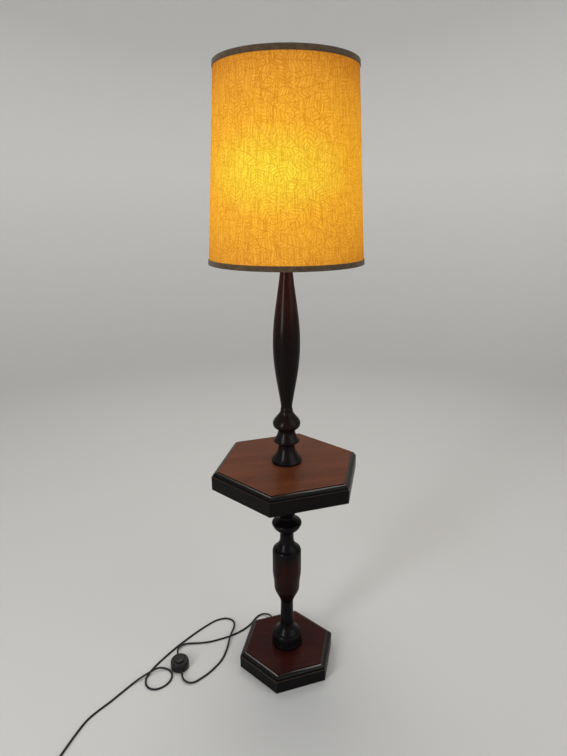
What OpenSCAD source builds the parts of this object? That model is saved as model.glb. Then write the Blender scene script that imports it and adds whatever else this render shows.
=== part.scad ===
// Floor lamp with a hexagonal table: a turned wooden column on a weighted base,
// a tapered drum shade on a harp, and a cord with an in-line foot switch.
// Units are millimetres, +Z is up, and the origin is the centre of the base's underside.
// The hexagons have a corner at +X and a flat side at +Y, where the cord leaves.

/* [Base] */
// Height of the base, from the floor to the top of its panel
base_h = 49; // [44:1:60]
// Width of the base across its flat sides
base_flats = 236; // [224:1:280]
// Thickness of the base's top panel
base_panel_t = 10; // [8:1:12]
// Width of the stepped moulding in plan, outside the base's panel
base_mould_w = 15; // [12:0.1:17]
// Depth of a base rail, from its outer face to its inner face
base_rail_w = 22; // [18:1:26]
// Thickness of the felt under the base
felt_t = 2; // [1.5:0.5:3]
// Radius of the cast weight
weight_r = 90; // [60:1:92]
// Thickness of the cast weight
weight_t = 15; // [13:1:17]

/* [Table] */
// Width of the table across its flat sides
table_flats = 333; // [300:1:400]
// Height of the table's moulded rails
table_frame_h = 47; // [40:1:60]
// Thickness of the table's panel
table_panel_t = 16; // [14:1:20]
// Width of the stepped moulding in plan, outside the table's panel
table_mould_w = 13; // [11:0.1:15]
// Depth of a table rail, from its outer face to its inner face
table_rail_w = 34; // [28:1:42]

/* [Moulding] */
// Height of the moulding, from the ledge to the panel's top
mould_h = 12.5; // [10:0.1:14]
// How far a panel stands above the moulding around it
mould_step = 2.4; // [1.5:0.1:3]
// Width of the flat ledge at the foot of the round
mould_ledge = 3.2; // [2:0.1:4]
// Height of the upright fillet between the ledge and the round
mould_fillet = 2; // [1.5:0.1:3]

/* [Lower column] */
// Length of the lower column, from the base's panel to the table's panel
lower_len = 544; // [520:1:640]
// Radius of the foot drum
foot_r = 40.2; // [36:0.1:44]
// Height of the foot drum's wall
foot_h = 26; // [22:1:40]
// Radius of the stem above the foot
stem_r = 16.8; // [14:0.1:20]
// Length of the stem
stem_h = 65; // [50:1:75]
// Radius of the urn
urn_r = 38.2; // [34:0.1:42]
// Radius of the urn where its bowl begins
bowl_r = 34.2; // [30:0.1:36]
// Height of the urn's bowl
bowl_h = 57; // [50:1:70]
// Height of the urn's body
urn_h = 105; // [80:1:115]
// Radius of the neck above the urn
neck_r = 18; // [15:0.1:21]
// Radius of the mushroom bead above the neck
bead_r = 38.9; // [34:0.1:42]
// Height of the bead's rounded underside
bead_h = 32; // [26:1:38]
// Radius of the vase under the table
vase_r = 34; // [28:0.1:38]
// Radius of the collar that bears on the table's panel
collar_r = 42; // [39:0.5:50]

/* [Upper column] */
// Length of the upper column, from the tabletop to its brass cap
upper_len = 557; // [520:1:640]
// Radius of the bell foot on the table
bell_r = 38.1; // [34:0.1:42]
// Height of the bell foot
bell_h = 42; // [34:1:50]
// Radius of the waist between the bell and the ring
waist_r = 19.6; // [17:0.1:23]
// Radius of the turned ring
ring_r = 32.3; // [29:0.1:36]
// Radius of the bulb above the ring
bulb_r = 34.1; // [30:0.1:38]
// Radius of the slim neck above the bulb
slim_r = 13.7; // [11:0.1:16]
// Radius of the long swell
swell_r = 32.3; // [28:0.1:36]
// Height of the rise from the slim neck to the swell
swell_h = 156; // [130:1:180]
// Radius of the column's thin upper end
tip_r = 12; // [10:0.1:14]

/* [Pipe and socket] */
// Outside diameter of the threaded lamp pipe
pipe_d = 10; // [9.5:0.1:10.4]
// Bore of the lamp pipe
pipe_bore = 6.4; // [6:0.1:6.8]
// Height of the brass cap on the column
cap_h = 6; // [5:0.5:8]
// Length of the brass neck under the harp's saddle
spacer_h = 16; // [12:1:24]
// Outside radius of the socket's brass shell
socket_r = 15.6; // [15.3:0.1:16.5]
// Length of the socket's brass shell
socket_h = 46; // [44:1:50]
// Largest radius of the lamp bulb
globe_r = 30; // [24:0.5:33]
// Length of the lamp bulb above its screw base
globe_h = 86; // [78:1:95]

/* [Harp and shade] */
// Height of the harp, from its saddle to the seat under the shade
harp_h = 284.4; // [270:0.1:310]
// Half of the harp's width
harp_half_w = 57; // [50:0.5:62]
// Half of the distance between the harp's legs
leg_half_w = 27; // [25:0.5:30]
// Radius of the harp's wire
harp_wire_r = 2; // [1.8:0.1:2.3]
// Height of the shade
shade_h = 400; // [360:1:420]
// Outside diameter at the shade's top edge
shade_top_d = 301; // [280:1:320]
// Outside diameter at the shade's bottom edge
shade_bottom_d = 349; // [330:1:380]
// How far the shade's seat lies below its top edge
shade_drop = 25; // [24:1:32]
// Thickness of the fabric and its liner
shade_t = 1.2; // [0.8:0.1:1.6]
// Height of the trim tape at both edges
trim_h = 11.5; // [9:0.5:16]
// How far the trim tape stands out from the fabric
trim_t = 2.2; // [1.5:0.1:3]
// Radius of the shade's frame wires
frame_wire_r = 1.6; // [1.4:0.1:2]

/* [Cord and switch] */
// Diameter of the cord
cord_d = 5.2; // [4.8:0.1:5.6]
// Length of the foot switch's housing
switch_l = 54; // [54:1:60]
// Width of the foot switch's housing
switch_w = 50; // [46:1:52]
// Height of the foot switch's housing
switch_h = 21; // [20:0.5:24]
// Radius of the foot switch's button
button_r = 12.5; // [10:0.1:13.5]
// Travel of the button
button_travel = 3; // [2:0.5:3.5]
// How far the button stands above the housing
button_up = 5; // [4.5:0.5:7]
// Turns of the coil's lower layer
turns_low = 2.5; // [2.5:1:3.5]
// Turns of the coil's upper layer
turns_high = 2.75; // [2.75:1:3.75]
// Radius of the coil's innermost turn, to the middle of the cord
coil_r = 23.6; // [22:0.1:26]

/* [Clearances] */
// Radial clearance of a hole round the piece that passes through it
hole_clear = 0.3; // [0.2:0.05:0.5]
// Radial clearance of a threaded, sliding or turning fit
run_clear = 0.08; // [0.03:0.01:0.1]
// Clearance between trim, frame and shell of the shade, and round soft pieces
soft_clear = 0.3; // [0.2:0.05:0.5]

/* [Hidden] */
$fn = 64;
SIDES = 6;
side_a = 360 / SIDES;
cos_side = cos(side_a / 2);

// Heights of the stack, from the floor up
base_top_z = base_h;
table_under_z = base_top_z + lower_len;
table_top_z = table_under_z + table_panel_t;
upper_top_z = table_top_z + upper_len;
cap_top_z = upper_top_z + cap_h;
saddle_z = cap_top_z + spacer_h;
saddle_t = 1.6;
saddle_top_z = saddle_z + saddle_t;
seat_z = saddle_top_z + harp_h;
shade_top_z = seat_z + shade_drop;
shade_bottom_z = shade_top_z - shade_h;

// Pipe, nut and washer
pipe_r = pipe_d / 2;
column_bore_r = pipe_r + hole_clear;
thread_r = pipe_r + run_clear;
weight_top_z = base_h - base_panel_t;
weight_low_z = weight_top_z - weight_t;
nut_pocket_r = 17;
nut_pocket_roof = 4.5;
washer_t = 1.5;
washer_r = 14;
nut_t = 4;
nut_flats = 14.3;
washer_z = weight_top_z - nut_pocket_roof - washer_t;
nut_z = washer_z - nut_t;
pipe_low_z = nut_z - 2;
pipe_in_cap = 11;
pipe_top_z = saddle_top_z + pipe_in_cap;

// Cord and its exit at the back of the base
cord_r = cord_d / 2;
cord_z = cord_r;
exit_z = felt_t + 7;
exit_y = base_flats / 2;
relief_barrel_r = 4.5;
relief_flange_r = 6.5;
relief_flange_t = 2;
relief_l = 20;
relief_inside = 3;
relief_tip_y = exit_y + relief_l;
cord_bend_r = 8;

// Socket
socket_cap_h = 24;
socket_cap_r = socket_r + 1.1;
socket_wall = 0.8;
core_z = saddle_top_z + 15.4;
core_h = 18;
shell_z = saddle_top_z + 18.4;
shell_top_z = shell_z + socket_h;
liner_t = 0.8;
liner_r = socket_r - socket_wall - run_clear;
core_r = liner_r - liner_t - run_clear;
screw_shell_t = 0.4;
screw_shell_h = 24;
lamp_base_r = core_r - 0.1 - screw_shell_t - hole_clear;
lamp_base_z = core_z + core_h + 0.3;
lamp_base_h = 28;
glass_z = lamp_base_z + lamp_base_h;
glass_t = 1;

// Harp
lug_r = harp_wire_r - 0.1;
lug_shoulder_r = 3.4;
lug_shoulder_z = saddle_top_z + 9.4;
lug_top_z = saddle_top_z + 18;
ferrule_l = 16;
ferrule_r = 3.6;
ferrule_lift = 12;
leg_top_z = lug_top_z + ferrule_lift + 12;
harp_bend_r = 40;
harp_top_r = 50;
stud_boss_r = 5.5;
stud_boss_h = 7.5;
stud_r = 3.1;
stud_l = 14;
harp_top_z = seat_z - stud_boss_h / 2;

// Shade
hub_r = 13;
hub_t = 1.6;
finial_z = seat_z + hub_t + soft_clear;
finial_h = 21;
finial_bore_h = stud_l - hub_t - soft_clear + 0.6;
arm_start_r = 11;
arm_rise_w = 24;
rim_t = 1;
shade_slope = (shade_bottom_d - shade_top_d) / 2 / shade_h;
rim_in = 7;
trim_skin = 0.05;
trim_in_t = 0.8;
top_ring_z = shade_top_z - rim_t - frame_wire_r - 1;
weld_gap = 0.15;

// Foot switch, in its own frame: long axis Y, origin on the floor under its middle
switch_at = [-295, 57];
switch_turn = 0;
switch_split_z = 7;
boot_r = 4.1;
boot_tip_r = 3.1;
boot_l = 9;
boot_in = 8;
switch_tip = switch_l / 2 + boot_l;
button_flange_r = button_r + 1.6;
button_flange_t = 2;
button_flange_z = switch_split_z + button_travel + 3;
button_gap = 0.2;
screw_at = [15, 14];
screw_r = 1.5;
screw_head_r = 2.9;
screw_head_t = 2;
screw_top_z = 14;
spring_r = 8.5;
spring_wire_r = 0.6;
spring_turns = 3;

// Coil, tie and plug
coil_centre = [-601, -197];
turn_pitch = cord_d + 0.7;
coil_start_a = 147.7;
tie_t = 1;
tie_w = 10;
tie_gap = 0.4;
coil_low_z = tie_t + tie_gap + cord_r;
coil_high_z = coil_low_z + turn_pitch;
coil_rings = 24;
low_out_r = coil_r + turns_low * turn_pitch;
high_out_r = coil_r + turns_high * turn_pitch;
coil_mid_a = coil_start_a + 360 * turns_low;
coil_end_a = coil_mid_a + 360 * turns_high;
tail_l = 26;
plug_relief_l = 20;
plug_l = 28;
plug_w = 24;
plug_h = 14;
blade_l = 16;
blade_in = 6;
blade_w = 6.35;
blade_t = 1.5;
blade_gap = 12.7;
blade_clear = 0.05;

// Route of the cord from the base to the foot switch: x, y and height of its middle
route_a_mid = [
    [-3, 159, 7.8], [-11, 168, 6.4], [-23, 173, 5], [-36, 171, 3.8],
    [-48, 163, 3], [-61, 151, cord_z], [-79, 138, cord_z], [-101, 128, cord_z],
    [-124, 121, cord_z], [-148, 117, cord_z], [-174, 115, cord_z], [-200, 115, cord_z],
    [-226, 119, cord_z], [-248, 124, 3.4], [-266, 127, 4.6], [-281, 124, 5.7],
    [-291, 115, 6.6]
];

// Route from the foot switch to the coil; the cord passes over itself twice
route_b_mid = [
    [-292, -1, 6], [-284, -10, 4.8], [-272, -14, 3.6], [-257, -11, 3],
    [-220, 7, cord_z], [-182, 37, cord_z], [-158, 73, 3.6], [-143, 104, 8.2],
    [-131, 126, 8.4], [-119, 149, 4], [-114, 169, cord_z], [-122, 186, cord_z],
    [-140, 195, cord_z], [-170, 193, cord_z], [-222, 169, cord_z], [-286, 131, cord_z],
    [-332, 98, cord_z], [-360, 75, cord_z], [-377, 58, cord_z], [-388, 41, cord_z],
    [-391, 24, cord_z], [-387, 10, cord_z], [-377, 0, cord_z], [-362, -4, cord_z],
    [-344, 0, cord_z], [-329, 11, cord_z], [-321, 27, cord_z], [-323, 44, 3],
    [-335, 56, 4.2], [-354, 60, 8.2], [-378, 52, 8.8], [-402, 43, 7],
    [-426, 33, 3], [-478, -2, cord_z], [-543, -46, cord_z], [-610, -139, 3.2]
];

// Sweep of the cord's tubes
cord_sides = 8;
ring_step = 32;

// ---------------------------------------------------------------- outlines

// Points [radius, height] of a curve that leaves and arrives upright
function ease(r0, z0, r1, z1, n = 14) =
    [for (k = [0 : n]) [r0 + (r1 - r0) * (1 - cos(180 * k / n)) / 2, z0 + (z1 - z0) * k / n]];

// A hollow flare that is steepest at its wide lower end
function flare(r0, z0, r1, z1, power = 1.6, n = 12) =
    [for (k = [0 : n]) [r1 + (r0 - r1) * pow(1 - k / n, power), z0 + (z1 - z0) * k / n]];

// A full rise from a slim radius to a wide one
function swell(r0, z0, r1, z1, power = 1.2, n = 20) =
    [for (k = [0 : n]) [r0 + (r1 - r0) * pow(sin(90 * k / n), power), z0 + (z1 - z0) * k / n]];

// An arc of an ellipse about [r, z]
function arc(r, z, half_r, half_z, a0, a1, n = 8) =
    [for (k = [0 : n]) let (a = a0 + (a1 - a0) * k / n) [r + half_r * cos(a), z + half_z * sin(a)]];

// Solid of revolution from the axis out to an outline
module turned(outline) {
    first_z = outline[0][1];
    last_z = outline[len(outline) - 1][1];
    rotate_extrude() polygon(concat([[0, first_z]], outline, [[0, last_z]]));
}

// Bore along the axis, open at both ends
module axis_bore(r, z0, z1) {
    translate([0, 0, z0 - 1]) cylinder(r = r, h = z1 - z0 + 2);
}

module tube_z(r_out, r_in, z0, z1) {
    difference() {
        translate([0, 0, z0]) cylinder(r = r_out, h = z1 - z0);
        axis_bore(r_in, z0, z1);
    }
}

// ---------------------------------------------------------------- swept tubes

function unit(v) = v / norm(v);

// Catmull-Rom point between p[k] and p[k + 1]
function smooth_point(p, k, t) =
    let (last = len(p) - 1,
         a = k > 0 ? p[k - 1] : 2 * p[0] - p[1],
         b = p[k],
         c = p[k + 1],
         d = k + 2 <= last ? p[k + 2] : 2 * p[last] - p[last - 1])
    ((2 * b) + (c - a) * t + (2 * a - 5 * b + 4 * c - d) * t * t
        + (3 * b - a - 3 * c + d) * t * t * t) / 2;

// Smooth line through the route's points, never lower than floor_z
function smooth_line(p, floor_z) =
    let (raw = [
        for (k = [0 : len(p) - 2])
            let (n = max(1, ceil(norm(p[k + 1] - p[k]) / ring_step)))
            for (j = [0 : n - 1]) smooth_point(p, k, j / n)
    ])
    [for (q = concat(raw, [p[len(p) - 1]])) [q[0], q[1], max(q[2], floor_z)]];

function line_length(line) =
    [for (k = 0, sum = 0; k < len(line); sum = sum + (k < len(line) - 1 ? norm(line[k + 1] - line[k]) : 0),
        k = k + 1) sum][len(line) - 1];

function tangent(line, k) =
    let (last = len(line) - 1,
         before = k > 0 ? unit(line[k] - line[k - 1]) : [0, 0, 0],
         after = k < last ? unit(line[k + 1] - line[k]) : [0, 0, 0])
    unit(before + after);

// Polyhedron tube of radius r along line, its rings square to it; across is never along the line
module swept_tube(line, r, sides, across = [0, 0, 1]) {
    count = len(line);
    rings = [
        for (k = [0 : count - 1])
            let (t = tangent(line, k), u = unit(cross(t, across)), v = cross(u, t))
            for (s = [0 : sides - 1])
                let (a = 360 * (s + 0.5) / sides) line[k] + r * (cos(a) * u + sin(a) * v)
    ];
    walls = [
        for (k = [0 : count - 2]) for (s = [0 : sides - 1])
            let (n = (s + 1) % sides, a = k * sides + s, b = k * sides + n)
            each [[a, b, a + sides], [b, b + sides, a + sides]]
    ];
    near_end = [for (s = [1 : sides - 2]) [0, s + 1, s]];
    start = (count - 1) * sides;
    far_end = [for (s = [1 : sides - 2]) [start, start + s, start + s + 1]];
    polyhedron(points = rings, faces = concat(walls, near_end, far_end), convexity = 8);
}

// ---------------------------------------------------------------- hexagonal panels and rails

module hexagon_panel(flats, z0, z1) {
    translate([0, 0, z0]) cylinder(r = flats / 2 / cos_side, h = z1 - z0, $fn = SIDES);
}

// Section of a rail: distance from the axis and height; the panel lies in its rebate
function rail_section(flats, rail_w, mould_w, z0, z_top, panel_t) =
    let (outer = flats / 2,
         inner = outer - rail_w,
         panel_edge = outer - mould_w,
         seat = z_top - panel_t,
         ledge_z = z_top - mould_h,
         fillet_top = ledge_z + mould_fillet,
         round_w = mould_w - mould_ledge,
         round_h = mould_h - mould_fillet - mould_step)
    concat(
        [[inner, z0], [outer, z0], [outer, ledge_z], [outer - mould_ledge, ledge_z]],
        arc(panel_edge, fillet_top, round_w, round_h, 0, 90, 10),
        [[panel_edge, seat], [inner, seat]]
    );

// One rail of the frame, mitred at both ends, on side i
module mitred_rail(i, flats, section) {
    reach = flats;
    rotate(side_a * (i - 0.5))
        intersection() {
            rotate([90, 0, 0])
                translate([0, 0, -reach / 2])
                    linear_extrude(reach) polygon(section);
            translate([0, 0, -1])
                linear_extrude(table_top_z + 2)
                    polygon([[0, 0], [reach, reach * tan(side_a / 2)], [reach, -reach * tan(side_a / 2)]]);
        }
}

// ---------------------------------------------------------------- base

module base_panel() {
    color([0.27, 0.11, 0.08])
        difference() {
            hexagon_panel(base_flats - 2 * base_mould_w, weight_top_z, base_top_z);
            axis_bore(column_bore_r, weight_top_z, base_top_z);
        }
}

module base_rail(i) {
    exit_side = 2;
    color([0.09, 0.06, 0.05])
        difference() {
            mitred_rail(i, base_flats,
                rail_section(base_flats, base_rail_w, base_mould_w, felt_t, base_top_z, base_panel_t));
            if (i == exit_side)
                translate([0, exit_y + 1, exit_z])
                    rotate([90, 0, 0]) cylinder(r = relief_barrel_r + run_clear, h = base_rail_w + 2);
        }
}

module base_weight() {
    edge = 2;
    color([0.2, 0.2, 0.21])
        difference() {
            turned([
                [weight_r - edge, weight_low_z], [weight_r, weight_low_z + edge],
                [weight_r, weight_top_z - edge], [weight_r - edge, weight_top_z]
            ]);
            axis_bore(column_bore_r, weight_low_z, weight_top_z);
            translate([0, 0, weight_low_z - 1])
                cylinder(r = nut_pocket_r, h = weight_t - nut_pocket_roof + 1);
        }
}

module base_felt() {
    inset = 3;
    color([0.08, 0.09, 0.08]) hexagon_panel(base_flats - 2 * inset, 0, felt_t);
}

// ---------------------------------------------------------------- turned columns

// Outline of the lower column from the base up
function lower_outline() =
    let (plinth = 6,
         plinth_bead = 3,
         foot_round = 15,
         foot_step = 6,
         foot_flare = 27,
         foot_power = 1.8,
         stem_flare = 1.4,
         urn_round = 12,
         urn_step = 4.6,
         neck_flare = 30,
         neck_power = 2,
         neck_h = 14,
         bead_round = 6,
         bead_low_a = -54,
         bead_fall = 15,
         vase_foot_r = neck_r + 1.4,
         vase_rise = 36,
         vase_swell = 40,
         vase_step = 5,
         vase_fall = 18,
         collar_h = 18,
         collar_lip = 2,
         foot_z = base_top_z + foot_h,
         flare_z = foot_z + foot_round,
         stem_z = flare_z + foot_flare,
         bowl_z = stem_z + stem_h,
         urn_z = bowl_z + bowl_h,
         urn_top_z = urn_z + urn_h,
         urn_end_z = urn_top_z + urn_round,
         neck_z = urn_end_z + neck_flare,
         bead_z = neck_z + neck_h,
         bead_top_z = bead_z + bead_h,
         vase_z = bead_top_z + bead_fall,
         vase_full_z = vase_z + vase_rise,
         collar_z = table_under_z - collar_h,
         foot_edge = foot_r - foot_step,
         urn_edge = urn_r - urn_step,
         bead_edge = bead_r - bead_round)
    concat(
        arc(foot_r - plinth_bead / 2, base_top_z + plinth, plinth_bead, plinth, -75, 60),
        [[foot_r, base_top_z + 2 * plinth]],
        arc(foot_edge, foot_z, foot_step, foot_round, 0, 75),
        flare(foot_edge, flare_z, stem_r + stem_flare, stem_z, foot_power),
        ease(stem_r + stem_flare, stem_z + 4, stem_r, bowl_z),
        ease(stem_r, bowl_z + 1, bowl_r, urn_z),
        ease(bowl_r, urn_z + 1, urn_r, urn_z + urn_h / 2),
        arc(urn_edge, urn_top_z, urn_step, urn_round, 0, 75),
        flare(urn_edge, urn_end_z, neck_r, neck_z, neck_power),
        ease(neck_r, bead_z, bead_edge + bead_round * cos(bead_low_a) - 0.5,
            bead_top_z + bead_round * sin(bead_low_a) - 0.5),
        arc(bead_edge, bead_top_z, bead_round, bead_round, bead_low_a, 80),
        flare(bead_edge, bead_top_z + bead_round, vase_foot_r, vase_z, 1.2),
        ease(vase_foot_r, vase_z + 4, vase_r - 2, vase_full_z),
        ease(vase_r - 2, vase_full_z + 1, vase_r, vase_full_z + vase_swell),
        ease(vase_r, collar_z - vase_fall - 6, vase_r - vase_step, collar_z - 6),
        ease(vase_r - vase_step + 1, collar_z - 5, collar_r, collar_z + 6),
        [[collar_r, table_under_z - collar_lip], [collar_r - collar_lip, table_under_z]]
    );

module lower_column() {
    color([0.13, 0.06, 0.05])
        difference() {
            turned(lower_outline());
            axis_bore(column_bore_r, base_top_z, table_under_z);
        }
}

// Outline of the upper column from the tabletop up
function upper_outline() =
    let (bell_lip = 5,
         bell_round = 3,
         bell_power = 1.9,
         ring_rise = 8,
         ring_w = 6,
         ring_round = 3,
         ring_half = 3,
         ring_fall = 21,
         cove_r = waist_r + 1.4,
         bulb_rise = 20,
         bulb_fall = 36,
         slim_h = 8,
         slim_flare = 1.3,
         tip_h = 33,
         crown_r = tip_r + 5,
         crown_low = 14,
         crown_high = 6,
         crown_round = 4,
         bell_z = table_top_z + bell_lip,
         waist_z = bell_z + bell_h,
         ring_z = waist_z + ring_rise,
         ring_end_z = ring_z + ring_w,
         cove_z = ring_end_z + ring_fall,
         bulb_z = cove_z + bulb_rise,
         slim_z = bulb_z + bulb_fall,
         rise_z = slim_z + slim_h,
         swell_z = rise_z + swell_h,
         tip_z = upper_top_z - tip_h,
         ring_edge = ring_r - ring_round)
    concat(
        arc(bell_r - bell_round, bell_z, bell_round, bell_lip, -90, 0, 6),
        flare(bell_r, bell_z + 1, waist_r, waist_z, bell_power),
        ease(waist_r, waist_z + 1, ring_edge, ring_z, 8),
        arc(ring_edge, (ring_z + ring_end_z) / 2, ring_round, ring_half, -80, 80, 8),
        flare(ring_edge, ring_end_z, cove_r, cove_z, 1.4),
        ease(cove_r, cove_z + 1, bulb_r - 0.8, bulb_z - 3),
        ease(bulb_r, bulb_z + 1, slim_r + slim_flare, slim_z),
        ease(slim_r + slim_flare, slim_z + 1, slim_r, rise_z),
        swell(slim_r, rise_z + 1, swell_r, swell_z),
        ease(swell_r, swell_z + 1, tip_r, tip_z, 24),
        ease(tip_r, tip_z + 1, crown_r, upper_top_z - crown_low, 10),
        [[crown_r, upper_top_z - crown_high]],
        arc(crown_r - crown_round, upper_top_z - crown_high, crown_round, 5, 10, 90, 6),
        [[tip_r, upper_top_z - 1], [tip_r, upper_top_z]]
    );

module upper_column() {
    color([0.2, 0.08, 0.06])
        difference() {
            turned(upper_outline());
            axis_bore(column_bore_r, table_top_z, upper_top_z);
        }
}

// ---------------------------------------------------------------- table

module table_panel() {
    color([0.42, 0.2, 0.13])
        difference() {
            hexagon_panel(table_flats - 2 * table_mould_w, table_under_z, table_top_z);
            axis_bore(column_bore_r, table_under_z, table_top_z);
        }
}

module table_rail(i) {
    color([0.11, 0.07, 0.06])
        mitred_rail(i, table_flats,
            rail_section(table_flats, table_rail_w, table_mould_w,
                table_top_z - table_frame_h, table_top_z, table_panel_t));
}

// ---------------------------------------------------------------- pipe, washer and nut

module lamp_pipe() {
    color([0.75, 0.72, 0.66]) tube_z(pipe_r, pipe_bore / 2, pipe_low_z, pipe_top_z);
}

module pipe_washer() {
    color([0.7, 0.7, 0.7]) tube_z(washer_r, thread_r, washer_z, washer_z + washer_t);
}

module pipe_nut() {
    color([0.72, 0.7, 0.62])
        difference() {
            translate([0, 0, nut_z]) cylinder(r = nut_flats / 2 / cos_side, h = nut_t, $fn = SIDES);
            axis_bore(thread_r, nut_z, nut_z + nut_t);
        }
}

// ---------------------------------------------------------------- brass cap and neck

module column_cap() {
    lip = tip_r + 3;
    color([0.78, 0.62, 0.32])
        difference() {
            turned(concat(
                [[lip, upper_top_z], [lip + 0.6, upper_top_z + 0.8]],
                arc(8.5, upper_top_z + 1.2, lip - 8, cap_h - 1.2, 0, 90)
            ));
            axis_bore(thread_r, upper_top_z, cap_top_z);
        }
}

module neck_spacer() {
    bead = 1.2;
    mid = cap_top_z + spacer_h / 2;
    color([0.8, 0.64, 0.34])
        difference() {
            turned(concat(
                [[8, cap_top_z]],
                arc(6.8, cap_top_z + 2, bead, 1.8, -60, 60, 6),
                ease(6.8, cap_top_z + 4.4, 6.4, mid, 6),
                ease(6.4, mid + 1, 6.8, saddle_z - 4.4, 6),
                arc(6.8, saddle_z - 2, bead, 1.8, -60, 60, 6),
                [[8, saddle_z]]
            ));
            axis_bore(thread_r, cap_top_z, saddle_z);
        }
}

// ---------------------------------------------------------------- harp

module harp_saddle() {
    strap_w = 12;
    color([0.76, 0.6, 0.3]) {
        difference() {
            union() {
                translate([-leg_half_w, -strap_w / 2, saddle_z])
                    cube([2 * leg_half_w, strap_w, saddle_t]);
                for (x = [-leg_half_w, leg_half_w]) translate([x, 0, 0]) {
                    translate([0, 0, saddle_z]) cylinder(r = strap_w / 2, h = saddle_t);
                    translate([0, 0, saddle_z]) cylinder(r = lug_shoulder_r, h = lug_shoulder_z - saddle_z);
                    translate([0, 0, saddle_z]) cylinder(r = lug_r, h = lug_top_z - saddle_z);
                }
            }
            axis_bore(thread_r, saddle_z, saddle_top_z);
        }
    }
}

// Middle line of the harp's bow on the +X side, from the top of the leg to the seat
function half_bow() =
    let (out = harp_half_w - leg_half_w,
         bend_a = acos(1 - out / 2 / harp_bend_r),
         side_z = leg_top_z + 2 * harp_bend_r * sin(bend_a))
    concat(
        arc(leg_half_w + harp_bend_r, leg_top_z, harp_bend_r, harp_bend_r, 180, 180 - bend_a, 5),
        arc(harp_half_w - harp_bend_r, side_z, harp_bend_r, harp_bend_r, 10 - bend_a, 0, 4),
        arc(harp_half_w - harp_top_r, harp_top_z - harp_top_r, harp_top_r, harp_top_r, 0, 90, 10)
    );

module harp_wire() {
    half = half_bow();
    left = [for (p = half) [-p[0], 0, p[1]]];
    right = [for (k = [len(half) - 1 : -1 : 0]) [half[k][0], 0, half[k][1]]];
    inside_leg = [0, 0, 1];
    bow = concat([left[0] - inside_leg], left, right, [right[len(right) - 1] - inside_leg]);
    color([0.78, 0.62, 0.32]) {
        swept_tube(bow, harp_wire_r - 0.02, 12, [0, 1, 0]);
        for (x = [-leg_half_w, leg_half_w])
            translate([x, 0, lug_top_z]) cylinder(r = harp_wire_r, h = leg_top_z - lug_top_z);
    }
}

module harp_stud() {
    color([0.8, 0.64, 0.34])
        difference() {
            union() {
                translate([0, 0, seat_z - stud_boss_h]) cylinder(r = stud_boss_r, h = stud_boss_h);
                translate([0, 0, seat_z]) cylinder(r = stud_r, h = stud_l);
            }
            translate([-stud_boss_r - 1, 0, harp_top_z])
                rotate([0, 90, 0]) cylinder(r = harp_wire_r + run_clear, h = 2 * stud_boss_r + 2);
        }
}

module ferrule(side) {
    z0 = lug_shoulder_z;
    color([0.8, 0.64, 0.34])
        translate([side * leg_half_w, 0, 0])
            difference() {
                turned([
                    [ferrule_r, z0], [ferrule_r, z0 + 1.5], [ferrule_r - 0.5, z0 + 2],
                    [ferrule_r - 0.5, z0 + ferrule_l - 0.6], [ferrule_r - 1, z0 + ferrule_l]
                ]);
                axis_bore(harp_wire_r + run_clear, z0, z0 + ferrule_l);
            }
}

module ferrule_left() {
    ferrule(-1);
}

module ferrule_right() {
    ferrule(1);
}

module finial() {
    ball_r = 7.5;
    ball_z = finial_z + finial_h - ball_r - 0.8;
    color([0.8, 0.65, 0.34])
        difference() {
            turned(concat(
                [[8, finial_z], [8, finial_z + 1.2], [6, finial_z + 2.2]],
                ease(5, finial_z + 2.6, 4.2, finial_z + 5, 4),
                arc(0, ball_z, ball_r, ball_r, -50, 82, 14),
                [[1, finial_z + finial_h]]
            ));
            translate([0, 0, finial_z - 1]) cylinder(r = stud_r + run_clear, h = finial_bore_h + 1);
        }
}

// ---------------------------------------------------------------- socket and lamp bulb

module socket_cap() {
    z0 = saddle_top_z;
    z1 = z0 + socket_cap_h;
    wall = 0.9;
    inside = socket_cap_r - wall;
    collar = 7.6;
    color([0.8, 0.64, 0.34])
        difference() {
            turned(concat(
                [[collar, z0], [collar, z0 + 6]],
                ease(collar + 0.4, z0 + 7, socket_cap_r, z0 + 15, 8),
                [[socket_cap_r, z1 - 1.5], [socket_cap_r + 0.6, z1 - 1], [socket_cap_r, z1]]
            ));
            axis_bore(thread_r, z0, core_z);
            translate([0, 0, core_z]) cylinder(r = inside, h = z1 - core_z + 1);
        }
}

module socket_shell() {
    rim = shell_top_z - 1.2;
    color([0.8, 0.64, 0.34])
        difference() {
            turned([
                [socket_r, shell_z], [socket_r, rim - 0.8], [socket_r + 0.9, rim],
                [socket_r + 0.9, rim + 0.6], [socket_r, shell_top_z]
            ]);
            axis_bore(socket_r - socket_wall, shell_z, shell_top_z);
        }
}

module socket_liner() {
    color([0.45, 0.36, 0.26])
        tube_z(liner_r, liner_r - liner_t, shell_z, shell_top_z - 1);
}

module socket_core() {
    wire_well_r = cord_r + hole_clear;
    color([0.16, 0.14, 0.13])
        difference() {
            translate([0, 0, core_z]) cylinder(r = core_r, h = core_h);
            translate([0, 0, core_z - 1]) cylinder(r = wire_well_r, h = 4 + 1);
        }
}

module screw_shell() {
    r_out = core_r - 0.1;
    z0 = core_z + core_h;
    color([0.82, 0.72, 0.45]) tube_z(r_out, r_out - screw_shell_t, z0, z0 + screw_shell_h);
}

module bulb_base() {
    z0 = lamp_base_z;
    color([0.78, 0.77, 0.74])
        turned(concat(
            [[3, z0], [4.5, z0 + 0.8], [lamp_base_r - 2, z0 + 4]],
            arc(lamp_base_r - 1.5, z0 + 5.5, 1.5, 1.5, -60, 0, 4),
            [[lamp_base_r, z0 + lamp_base_h]]
        ));
}

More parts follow.
